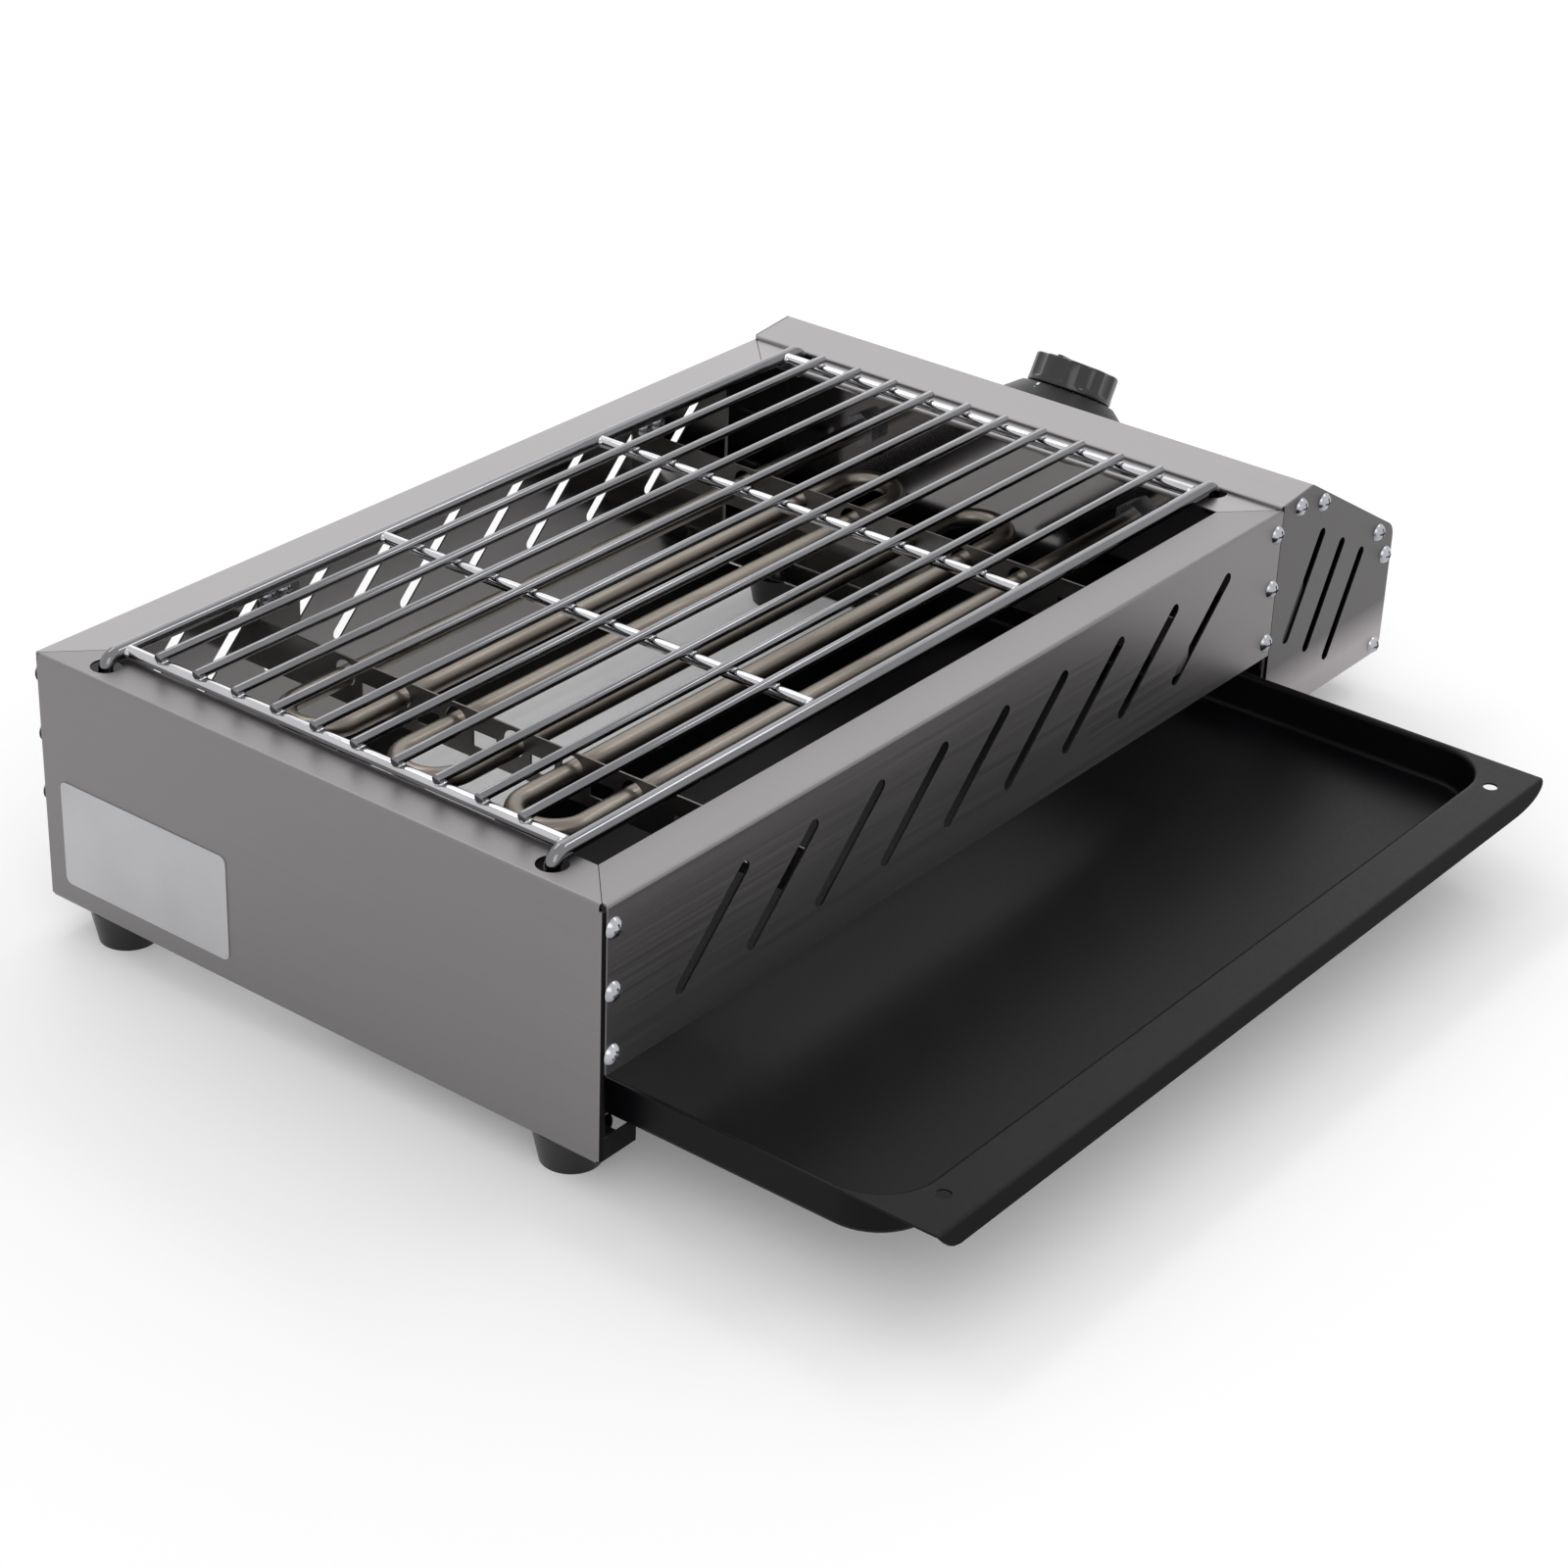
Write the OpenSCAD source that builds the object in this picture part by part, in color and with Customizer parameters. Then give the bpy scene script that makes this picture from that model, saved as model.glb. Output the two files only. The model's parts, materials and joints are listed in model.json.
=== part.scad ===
// Open-top electric barbecue grill: sheet steel body, wire rack, tubular
// heater, slide-out drip tray and a control box with a thermostat.

/* [Body] */
// Overall depth, front panel to rear panel
body_d = 280; // [270:1:300]
// Height of the body above its bottom edge
body_h = 104; // [98:1:120]
// Thickness of all sheet metal
sheet_t = 0.8; // [0.8:0.1:1.2]
// Outer radius of the sheet's bends
bend_r = 1.5; // [1.3:0.1:2.5]
// Length from the left face to the start of the control box cover
chamber_l = 429; // [425:1:436]
// Width of the end panels' top flanges
end_flange_w = 19.5; // [18:0.5:22]
// Width of the front and rear panels' top flanges
side_flange_w = 20; // [18:0.5:22]
// Width of the left panel's bottom flange
bottom_flange_w = 20; // [19:0.5:24]
// Width of the rear panel's bottom flange
rear_flange_w = 20; // [16:0.5:22]
// Gap between the rear panel's bottom flange and the end panels' own
flange_gap = 1.5; // [1:0.5:3]
// Width of the upright return flanges
return_w = 19; // [17:0.5:20]
// Gap between two sheets that meet at a mitre
mitre_gap = 0.4; // [0.2:0.1:0.8]
// Setback of the wall between chamber and control box
wall_setback = 25; // [20:1:30]
// Distance of the panel screws from the left face
screw_inset_left = 4.6; // [4:0.1:6]
// Distance of the panel screws from the start of the control box
screw_inset_right = 2.6; // [2.2:0.1:6]
// Height of the lowest panel screws
screw_z = 44; // [43:0.5:50]
// Spacing of the panel screws
screw_pitch = 25; // [20:0.5:26]

/* [Tray opening] */
// Height of the front panel's lower edge
front_panel_z = 37; // [36:0.5:42]
// Height of the sill that the tray passes over
sill_z = 10.5; // [9.5:0.5:11]

/* [Slots] */
// Number of slanted slots in the front and rear panels
slot_count = 9; // [5:1:9]
// Place of the first slot's lower end along the body
slot_x = 40.5; // [36:0.5:44]
// Height of the slots' lower ends
slot_z = 54; // [50:0.5:56]
// Spacing of the slots
slot_pitch = 39.3; // [36:0.1:40]
// Width of a slot
slot_w = 5.5; // [4:0.1:6]
// Run of a slot along the body
slot_run = 33.7; // [28:0.1:35]
// Rise of a slot
slot_rise = 33; // [30:0.5:38]

/* [Control box] */
// Length of the control box along the body
box_l = 101; // [92:1:120]
// Height of the cover where it meets the chamber
cover_z1 = 105.4; // [105.2:0.1:106]
// Width of the cover's rounded hem on the chamber's flange
hem_w = 1.2; // [1:0.1:2]
// Height of the control box's lower edge
box_z0 = 3; // [0:0.5:5]
// Height of the ridge above the slope
ridge_z = 107.8; // [107:0.1:109]
// Distance from the cover's start to the ridge
ridge_run = 24.5; // [22:0.5:28]
// Angle of the sloping control panel
slope_a = 30; // [28:0.5:32]
// Radius between the slope and the end face
nose_r = 9; // [8:0.5:12]
// Width of the cover's side flanges
cover_flange_w = 13; // [12:0.5:16]
// Number of vents in each end plate
vent_count = 3; // [2:1:3]
// Width of a vent
vent_w = 5.2; // [4:0.1:6]
// Length of a vent between its end centres
vent_l = 46.7; // [42:0.1:48]
// Lean of the vents from the upright
vent_a = 27.5; // [24:0.5:30]
// Spacing of the vents along the slope
vent_pitch = 21.2; // [18:0.1:22]
// Distance from the ridge along the body to the first vent's top
vent_x = 11.7; // [9:0.1:14]
// Depth of the first vent's top below the ridge
vent_drop = 26.3; // [24:0.1:28]
// Width of the box base's upturned flanges
base_flange_h = 10; // [8:0.5:12]

/* [Rack] */
// Distance between the two side rods
rack_w = 219; // [210:1:222]
// Distance of the rack's left legs from the left face
rack_leg_left = 10; // [9:0.5:11]
// Distance of the rack's right legs from the start of the control box
rack_leg_right = 3.5; // [3.5:0.5:6]
// Diameter of the side rods
rod_d = 6; // [5:0.5:6.5]
// Bend radius of the side rods at their centre line
rod_bend_r = 5; // [4:0.5:6]
// Depth that the legs reach below the top flange
leg_depth = 9; // [7:0.5:12]
// Diameter of the leg holes
leg_hole_d = 12; // [11:0.5:13]
// Number of thin bars
bar_count = 10; // [7:1:10]
// Diameter of the thin bars
bar_d = 4; // [3.5:0.1:4.5]
// Spacing of the thin bars
bar_pitch = 19.8; // [16:0.1:20]
// Distance from the left legs to the bars' ends
bar_in_left = 7; // [6:0.5:10]
// Distance from the right legs to the bars' ends
bar_in_right = 9.5; // [6:0.5:12]
// Diameter of the cross wires
wire_d = 5; // [4.5:0.1:5.5]
// Number of cross wires
wire_count = 4; // [3:1:4]
// Shift of the inner cross wires towards the control box
inner_wire_shift = 4.5; // [0:0.5:8]
// Distance from the bars' ends to the end cross wires
bar_overhang = 0.2; // [0:0.1:4]
// Depth that a bar is welded into a cross wire
weld_depth = 0.6; // [0.4:0.1:0.8]

/* [Heater] */
// Diameter of the heating tube
tube_d = 8.4; // [8:0.1:8.8]
// Height of the tube's centre line
tube_z = 67; // [66.5:0.5:68]
// Number of straight runs
run_count = 6; // [6:2:6]
// Spacing of the straight runs
run_pitch = 29.4; // [28:0.2:30]
// Distance from the rear face to the first run
run_rear_y = 48; // [46:0.5:52]
// Place of the left bends' centres
bend_x1 = 88; // [80:1:95]
// Distance of the right bends' centres from the start of the control box
bend_in = 37; // [34:1:42]
// Length of the tube behind the chamber wall
tube_tail = 14; // [12:1:16]
// Width across the flats of the element's collars and nuts
collar_w = 14; // [12:0.5:15]
// Thickness of the element's collars
collar_h = 6; // [5:0.5:7]
// Thickness of the element's nuts
nut_h = 5; // [4:0.5:6]
// Length of the element's end insulators
insulator_l = 8; // [6:1:10]
// Length of the element's pins beyond the insulators
pin_l = 12; // [10:1:14]
// Diameter of the element's threaded pins
pin_d = 4; // [3.5:0.5:4]

/* [Heater supports] */
// Place of the left support plate
support_x1 = 115; // [108:1:120]
// Distance of the right support plate from the start of the control box
support_in = 65; // [60:1:72]
// Lower edge of the support plates
support_z = 55; // [54:0.5:56]
// Height of the support plates
support_h = 20.5; // [20:0.5:22]
// Diameter of the holes that carry the tube
support_hole_d = 11; // [10.5:0.5:12]
// Width of the windows between the tubes
window_w = 12; // [10:0.5:14]
// Height of the windows between the tubes
window_h = 7; // [5:0.5:8]
// Height of a support's fixing tab
tab_h = 28; // [26:0.5:30]
// Width of a support's fixing tab
tab_w = 22; // [20:0.5:26]
// Distance from a support plate to its first tab screw
tab_screw_x = 4.5; // [4:0.5:6]
// Spacing of the tab screws
tab_screw_pitch = 9; // [8:0.5:10]
// Height of the tab screws above the support's lower edge
tab_screw_z = 29; // [27:0.5:32]

/* [Drip tray] */
// Distance from the left face to the tray's side rim
tray_gap_left = 10; // [8:0.5:12]
// Distance from the tray's side rim to the start of the control box
tray_gap_right = 5; // [4:0.5:8]
// Depth of the tray from lip to rear rim
tray_l = 295; // [280:1:300]
// Depth of the well below the rim
tray_h = 17.5; // [14:0.5:17.5]
// Height of the top of the rim
tray_z = 29; // [29:0.5:31]
// Width of the side and rear rims
tray_rim_w = 2; // [1.5:0.5:6]
// Width of the front rim
tray_front_rim_w = 24; // [22:0.5:36]
// Corner radius of the well
tray_corner_r = 24; // [14:1:28]
// Drop of the lip that turns down at the front
tray_lip_h = 4.5; // [3.5:0.5:8]
// How far the lip slopes forward as it drops
tray_lip_run = 4; // [2:0.5:6]
// How far the tray's lip stands out of the front panel
tray_out = 138; // [120:1:150]
// Diameter of the holes in the front rim
tray_hole_d = 6; // [5:0.5:7]
// Inset of the rim holes from the tray's sides
tray_hole_inset = 20.5; // [18:0.5:26]
// Distance from the lip to the rim holes
tray_hole_y = 17; // [14:0.5:20]

/* [Knob] */
// Diameter of the knob
knob_d = 39.4; // [36:0.2:42]
// Height of the knob
knob_h = 13.5; // [11:0.5:16]
// Number of finger flutes
flute_count = 8; // [6:1:12]
// Diameter of the bezel at its foot
bezel_d = 60; // [54:1:62]
// Diameter of the bezel at its top
bezel_top_d = 45; // [43:1:48]
// Height of the bezel
bezel_h = 8; // [6:0.5:9]
// Distance of the knob's axis from the slope's lower corner, along the slope
knob_in = 40.8; // [38:0.2:46]
// Distance of the knob's axis from the front face
knob_y = 154; // [120:1:180]
// Diameter of the thermostat shaft
shaft_d = 6; // [5:0.5:6]
// Radial running clearance of the shaft
shaft_clear = 0.06; // [0.04:0.01:0.08]

/* [Feet] */
// Height of the feet
foot_h = 15; // [12:0.5:18]
// Diameter of a foot at its top
foot_top_d = 29; // [24:0.5:30]
// Diameter of a foot at its bottom
foot_d = 23; // [20:0.5:24]
// Distance of the left feet from the left face
foot_x = 15; // [14.5:0.5:17]
// Distance of the right feet from the start of the control box
foot_right_x = 10.5; // [10:0.5:14]
// Distance of the feet from the front and rear faces
foot_y = 27; // [25:0.5:40]

/* [Fasteners] */
// Diameter of the panel screws' heads
head_d = 8.2; // [7:0.1:8.4]
// Height of the panel screws' heads
head_h = 2.6; // [2:0.1:2.8]
// Diameter of the panel screws' threads
thread_d = 3.5; // [3:0.1:4]
// Length of the panel screws' threads
thread_l = 7; // [5:0.5:8]
// Clearance between moving pieces and their guides
slide_clear = 0.3; // [0.3:0.1:0.5]
// Gap under the heating tube in its supports
rest_gap = 0.05; // [0.05:0.01:0.2]

/* [Inside the control box] */
// Diameter of the cord's opening in the rear plate
gland_d = 16; // [14:0.5:18]
// Distance of the cord gland from the box's end face
gland_in = 35; // [32:1:40]
// Height of the cord gland
gland_z = 28; // [26:1:34]
// Width across the flats of the gland's nut
gland_nut_w = 22; // [20:0.5:24]
// Thickness of the gland's nut
gland_nut_h = 5; // [4:0.5:6]
// Thickness of the gland's outer flange
gland_flange_h = 5; // [4:0.5:6]
// Distance of the terminal block from the box's end face
block_in = 30; // [28:1:34]
// Distance of the terminal block from the rear face
block_rear_y = 70; // [64:1:76]
// Length of the terminal block
block_l = 40; // [36:1:44]
// Width of the terminal block
block_w = 18; // [16:1:20]
// Height of the terminal block
block_h = 14; // [13:0.5:16]
// Spacing of the terminal block's wire holes
block_pitch = 11; // [10:0.5:12]
// Distance of the earth screw from the box's end face
earth_in = 12; // [11:1:16]
// Distance of the earth screw from the front face
earth_y = 60; // [50:1:70]
// Diameter of the wires
wire_gauge = 3; // [2.4:0.1:3.2]

/* [Thermostat] */
// Diameter of the thermostat's bush
bush_d = 10; // [9:0.5:11]
// Spacing of the thermostat's screws
thermo_screw_pitch = 28; // [26:1:30]
// Thickness of the thermostat's mounting plate
thermo_plate_t = 1.5; // [1:0.1:2]
// Length of the thermostat along the slope
thermo_l = 36; // [32:1:38]
// Width of the thermostat
thermo_w = 32; // [28:1:34]
// Depth of the thermostat's case
thermo_h = 22; // [18:1:24]
// Diameter of the sensor bulb
bulb_d = 6; // [5:0.5:7]
// Length of the sensor bulb
bulb_l = 70; // [60:1:80]
// Distance of the sensor from the front face
sensor_y = 120; // [110:1:130]
// Distance of the sensor bulb's centre from the chamber wall
bulb_in = 5; // [4.2:0.2:8]
// Height of the sensor
sensor_z = 50; // [44:1:52]
// Diameter of the sensor's capillary tube
capillary_d = 2.4; // [2:0.1:2.8]

/* [Rating plate] */
// Length of the blank rating plate
plate_l = 88; // [70:1:95]
// Height of the blank rating plate
plate_h = 44; // [36:1:50]
// Thickness of the rating plate
plate_t = 0.4; // [0.3:0.1:0.6]
// Distance from the plate to the rear face
plate_y = 11; // [8:1:20]
// Height of the plate's lower edge
plate_z = 9.5; // [6:0.5:14]

/* [Hidden] */
$fn = 48;
eps = 0.01;

// Places that several pieces share
body_l = chamber_l + box_l;
wall_x = chamber_l + wall_setback;
frame_inner_x = chamber_l - bottom_flange_w;
rear_flange_x0 = bottom_flange_w + flange_gap;
rear_flange_l = frame_inner_x - flange_gap - rear_flange_x0;
top_flange_x = chamber_l - end_flange_w;
plate_x0 = chamber_l + hem_w;
front_panel_x0 = 1.5;
front_panel_x1 = plate_x0 - mitre_gap;
ridge_x = chamber_l + ridge_run;
nose_steps = 5;
rack_y = body_d / 2 + 1.5;
rack_leg_span = chamber_l - rack_leg_left - rack_leg_right;
rack_x = rack_leg_left + rack_leg_span / 2;
rod_z = body_h + slide_clear + rod_d / 2;
bar_z = rod_z + (wire_d + bar_d) / 2 - weld_depth;
bar_x0 = rack_leg_left + bar_in_left;
bar_l = rack_leg_span - bar_in_left - bar_in_right;
wire_x0 = bar_x0 + bar_overhang + wire_d / 2;
wire_span = bar_l - 2 * bar_overhang - wire_d;
run_y0 = body_d - run_rear_y;
run_y5 = run_y0 - (run_count - 1) * run_pitch;
bend_x2 = chamber_l - bend_in;
support_x2 = chamber_l - support_in;
tray_x0 = tray_gap_left;
tray_w = chamber_l - tray_gap_left - tray_gap_right;
tray_floor_z = tray_z - tray_h;
knob_x = body_l - knob_in * cos(slope_a);
knob_z = ridge_z - (knob_x - ridge_x) * tan(slope_a);
gland_x = body_l - gland_in;
base_top = box_z0 + sheet_t;
part_x0 = -plate_t;
part_x1 = body_l;
part_y0 = -tray_out;
part_y1 = body_d + gland_flange_h;
origin_x = (part_x0 + part_x1) / 2;
origin_y = (part_y0 + part_y1) / 2;

steel = [0.62, 0.61, 0.61];
dark_steel = [0.45, 0.44, 0.43];
chrome = [0.85, 0.85, 0.86];
zinc = [0.78, 0.79, 0.8];
black = [0.13, 0.13, 0.14];
ceramic = [0.92, 0.9, 0.85];
brass = [0.8, 0.65, 0.3];

// Height of the sloping panel's outer skin at a place along the body
function slope_at(x) = ridge_z - (x - ridge_x) * tan(slope_a);

// Unit normal on the right of a line that travels at an angle
function right_of(a) = [sin(a), -cos(a)];

// A corner of an outline moved inwards by d, between two directions of travel
function inset_corner(p, a1, a2, d) = let (n1 = right_of(a1), n2 = right_of(a2))
    p + d * (n1 + n2) / (1 + n1 * n2);

// Outline of the control box seen from the front, at a distance d inside its
// outer skin: start of the cover, ridge, rounded nose and end face
function box_outline(d) = let (
    rise_a = atan2(ridge_z - cover_z1, ridge_x - plate_x0),
    nose = [body_l, slope_at(body_l)],
    centre = nose - [nose_r, nose_r * tan((90 - slope_a) / 2)],
    ridge = inset_corner([ridge_x, ridge_z], rise_a, -slope_a, d)
) concat(
    [[plate_x0, cover_z1 - d], ridge],
    d < nose_r
        ? [for (i = [0:nose_steps]) let (t = (90 - slope_a) * (1 - i / nose_steps))
            centre + (nose_r - d) * [cos(t), sin(t)]]
        : [inset_corner(nose, -slope_a, -90, d)]
);

// A slot with round ends between two points, cut along the second axis
module slot_cut(p1, p2, w, depth) {
    run = [p2[0] - p1[0], p2[1] - p1[1]];
    l = norm(run);
    translate([p1[0], depth, p1[1]])
    rotate([90, 0, 0])
    linear_extrude(depth * 3, center = true)
    rotate(atan2(run[1], run[0])) {
        circle(d = w);
        translate([l, 0]) circle(d = w);
        translate([0, -w / 2]) square([l, w]);
    }
}

// The row of slanted slots that the front and rear panels share
module panel_slots(y) {
    for (i = [0:slot_count - 1]) {
        x = slot_x + i * slot_pitch;
        translate([0, y, 0])
        slot_cut([x, slot_z], [x + slot_run, slot_z + slot_rise], slot_w, sheet_t);
    }
}

// Screw places on the front and rear panels
panel_screw_x = [screw_inset_left, chamber_l - screw_inset_right];
panel_screw_z = [for (i = [0:2]) screw_z + i * screw_pitch];

module panel_screw_holes(y) {
    for (x = panel_screw_x, z = panel_screw_z)
        translate([x, y, z]) rotate([90, 0, 0]) cylinder(d = thread_d, h = 6 * sheet_t, center = true);
}

// A long side panel with its top flange mitred at both ends
module side_panel(z0) {
    difference() {
        translate([front_panel_x0, 0, 0])
        rotate([90, 0, 90])
        linear_extrude(front_panel_x1 - front_panel_x0)
        difference() {
            union() {
                translate([0, z0]) square([sheet_t, body_h - bend_r - z0]);
                translate([bend_r, body_h - sheet_t]) square([side_flange_w - bend_r, sheet_t]);
                intersection() {
                    translate([bend_r, body_h - bend_r]) circle(r = bend_r);
                    translate([0, body_h - bend_r]) square(bend_r);
                }
            }
            translate([bend_r, body_h - bend_r]) circle(r = bend_r - sheet_t);
        }
        panel_slots(0);
        panel_screw_holes(0);
        mitre_cut(mitre_gap, 1);
        mitre_cut(chamber_l - mitre_gap, -1);
    }
}

// Removes a side flange's corner beyond the mitre line
module mitre_cut(x, dir) {
    translate([x, bend_r, body_h - bend_r + eps])
    linear_extrude(2 * bend_r)
    polygon([
        [-dir * 5, -eps],
        [0, -eps],
        [dir * end_flange_w, side_flange_w - bend_r],
        [dir * end_flange_w, side_flange_w + 5],
        [-dir * 5, side_flange_w + 5]
    ]);
}

module front_panel() {
    color(steel) side_panel(front_panel_z);
}

// The rear panel's bottom flange, which runs between those of the end panels
module rear_flange() {
    translate([rear_flange_x0, body_d, 0])
    rotate([90, 0, 90])
    linear_extrude(rear_flange_l)
    mirror([1, 0])
    difference() {
        union() {
            intersection() {
                translate([bend_r, bend_r]) circle(r = bend_r);
                square(bend_r);
            }
            translate([bend_r, 0]) square([rear_flange_w - bend_r, sheet_t]);
        }
        translate([bend_r, bend_r]) circle(r = bend_r - sheet_t);
    }
}

module rear_panel() {
    color(steel)
    difference() {
        union() {
            difference() {
                translate([0, body_d, 0]) mirror([0, 1, 0]) side_panel(0);
                // room for the bend, with a relief cut at each end
                translate([rear_flange_x0 - flange_gap / 2, body_d - 2 * sheet_t, -eps])
                cube([rear_flange_l + flange_gap, 3 * sheet_t, bend_r + eps]);
            }
            rear_flange();
        }
        support_screw_places(support_x1, 1) screw_bore();
        support_screw_places(support_x2, -1) screw_bore();
    }
}

// Holes in the end flanges for the rack's legs
module leg_holes() {
    for (x = [rack_x - rack_leg_span / 2, rack_x + rack_leg_span / 2], s = [-1, 1])
        translate([x, rack_y + s * rack_w / 2, body_h - 2 * sheet_t])
        cylinder(d = leg_hole_d, h = 4 * sheet_t);
}

// The upright wall and return flanges of the left end, seen from above
module end_plan() {
    difference() {
        union() {
            translate([0, sheet_t + bend_r]) square([sheet_t, body_d - 2 * (sheet_t + bend_r)]);
            for (s = [0, 1])
                translate([0, s * body_d]) mirror([0, s]) {
                    translate([bend_r, sheet_t]) square([return_w - bend_r, sheet_t]);
                    intersection() {
                        translate([bend_r, sheet_t + bend_r]) circle(r = bend_r);
                        translate([0, sheet_t]) square(bend_r);
                    }
                }
        }
        for (s = [0, 1])
            translate([0, s * body_d]) mirror([0, s])
            translate([bend_r, sheet_t + bend_r]) circle(r = bend_r - sheet_t);
    }
}

// The wall with its top and bottom flanges, seen from the front
module end_section() {
    difference() {
        union() {
            translate([0, bend_r]) square([sheet_t, body_h - 2 * bend_r]);
            translate([bend_r, body_h - sheet_t]) square([end_flange_w - bend_r, sheet_t]);
            translate([bend_r, 0]) square([bottom_flange_w - bend_r, sheet_t]);
            for (z = [bend_r, body_h - bend_r])
                intersection() {
                    translate([bend_r, z]) circle(r = bend_r);
                    translate([0, z - bend_r]) square([bend_r, 2 * bend_r]);
                }
        }
        for (z = [bend_r, body_h - bend_r])
            translate([bend_r, z]) circle(r = bend_r - sheet_t);
    }
}

// Removes an end flange's corner beyond the mitre line
module end_mitre_cut(x, dir) {
    for (s = [0, 1])
        translate([x, s * body_d, body_h - bend_r - eps]) mirror([0, s, 0])
        linear_extrude(2 * bend_r)
        polygon([
            [-dir * 5, -5],
            [-dir * 5, bend_r],
            [0, bend_r],
            [dir * end_flange_w, side_flange_w],
            [dir * (end_flange_w + 5), side_flange_w],
            [dir * (end_flange_w + 5), -5]
        ]);
}

// Through holes for the feet's screws
module foot_screw_holes() {
    foot_places() translate([0, 0, -2 * sheet_t]) cylinder(d = thread_d, h = 6 * sheet_t);
}

module foot_places() {
    for (x = [foot_x, chamber_l - foot_right_x], y = [foot_y, body_d - foot_y])
        translate([x, y, 0]) children();
}

module left_end_panel() {
    relief = sheet_t + bend_r + mitre_gap;
    color(steel)
    difference() {
        union() {
            translate([0, 0, bend_r])
            linear_extrude(body_h - bend_r - relief) end_plan();
            translate([0, body_d - relief, 0])
            rotate([90, 0, 0])
            linear_extrude(body_d - 2 * relief) end_section();
        }
        // the tray's mouth through the front return flange
        translate([bend_r + sheet_t, 0, sill_z])
        cube([return_w, relief, front_panel_z - sill_z + 2 * sheet_t]);
        leg_holes();
        end_mitre_cut(0, 1);
        panel_screw_holes(2 * sheet_t);
        panel_screw_holes(body_d - 2 * sheet_t);
        foot_screw_holes();
    }
}

// The element's ends pass the chamber wall here
module wall_holes() {
    for (y = [run_y0, run_y5])
        translate([wall_x, y, tube_z]) rotate([0, 90, 0]) cylinder(d = tube_d + 0.2, h = 6 * sheet_t, center = true);
}

module right_end_frame() {
    relief = sheet_t + bend_r + mitre_gap;
    color(steel)
    difference() {
        union() {
            // top flange, wall and bottom flange
            translate([top_flange_x, relief, body_h - sheet_t])
            cube([wall_x + sheet_t - top_flange_x, body_d - 2 * relief, sheet_t]);
            translate([wall_x, relief, 0]) cube([sheet_t, body_d - 2 * relief, body_h]);
            translate([frame_inner_x, relief, 0])
            cube([wall_x + sheet_t - frame_inner_x, body_d - 2 * relief, sheet_t]);
            // return flanges behind the side panels and the box plates
            for (y = [sheet_t, body_d - 2 * sheet_t])
                translate([frame_inner_x + 1, y, 0])
                cube([wall_x + sheet_t - frame_inner_x - 1, sheet_t, body_h - relief]);
            for (y = [sheet_t, body_d - relief - sheet_t])
                translate([wall_x, y, 0]) cube([sheet_t, relief, body_h - relief]);
            // the top flange meets the return flanges under the cover
            for (s = [0, 1])
                translate([0, s * body_d, 0]) mirror([0, s, 0]) translate([chamber_l + 4, sheet_t, 0]) {
                    translate([0, 0, body_h - sheet_t]) cube([wall_setback + sheet_t - 4, relief, sheet_t]);
                    translate([0, 0, body_h - 2 * relief]) cube([wall_setback + sheet_t - 4, sheet_t, 2 * relief]);
                }
        }
        // the tray's mouth through the front return flange
        translate([frame_inner_x, 0, sill_z])
        cube([tray_x0 + tray_w + 3 - frame_inner_x, 2 * relief, front_panel_z - sill_z + 2 * sheet_t]);
        leg_holes();
        right_mitre_cut();
        panel_screw_holes(2 * sheet_t);
        panel_screw_holes(body_d - 2 * sheet_t);
        box_screw_holes(2 * sheet_t);
        box_screw_holes(body_d - 2 * sheet_t);
        foot_screw_holes();
        wall_holes();
    }
}

// The right flange meets the side flanges along two mitres
module right_mitre_cut() {
    for (s = [0, 1])
        translate([chamber_l, s * body_d, body_h - sheet_t - eps]) mirror([0, s, 0])
        linear_extrude(2 * sheet_t)
        polygon([
            [-end_flange_w - 5, 0],
            [-end_flange_w - 5, side_flange_w],
            [-end_flange_w, side_flange_w],
            [0, bend_r],
            [0, 0]
        ]);
}

// Flat outline of a box end plate
module box_plate_outline() {
    r = 5;
    polygon(concat(box_outline(0), [
        [body_l, box_z0 + r], [body_l - 0.3 * r, box_z0 + 0.3 * r], [body_l - r, box_z0], [plate_x0, box_z0]
    ]));
}

// Screw places on the box end plates, measured in from the outline
box_screws = [
    [plate_x0 + 14, cover_z1 - 4.6],
    [ridge_x + 10, slope_at(ridge_x + 10) - 5.4],
    [body_l - 13.5, slope_at(body_l - 13.5) - 6.8],
    [body_l - 5.2, slope_at(body_l) - 12.4],
    [body_l - 5.8, box_z0 + 4.2]
];

module box_screw_holes(y) {
    for (p = box_screws)
        translate([p[0], y, p[1]]) rotate([90, 0, 0]) cylinder(d = thread_d, h = 6 * sheet_t, center = true);
}

module box_plate() {
    difference() {
        translate([0, sheet_t, 0]) rotate([90, 0, 0]) linear_extrude(sheet_t) box_plate_outline();
        for (i = [0:vent_count - 1]) {
            step = i * vent_pitch * [cos(slope_a), -sin(slope_a)];
            top = [ridge_x + vent_x, ridge_z - vent_drop] + step;
            slot_cut(top - vent_l * [sin(vent_a), cos(vent_a)], top, vent_w, sheet_t);
        }
        box_screw_holes(0);
    }
}

module box_front_plate() {
    color(steel) box_plate();
}

module box_rear_plate() {
    color(steel)
    difference() {
        translate([0, body_d, 0]) mirror([0, 1, 0]) box_plate();
        gland_hole();
    }
}

module gland_hole() {
    translate([gland_x, body_d, gland_z]) rotate([90, 0, 0]) cylinder(d = gland_d, h = 6 * sheet_t, center = true);
}

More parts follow.
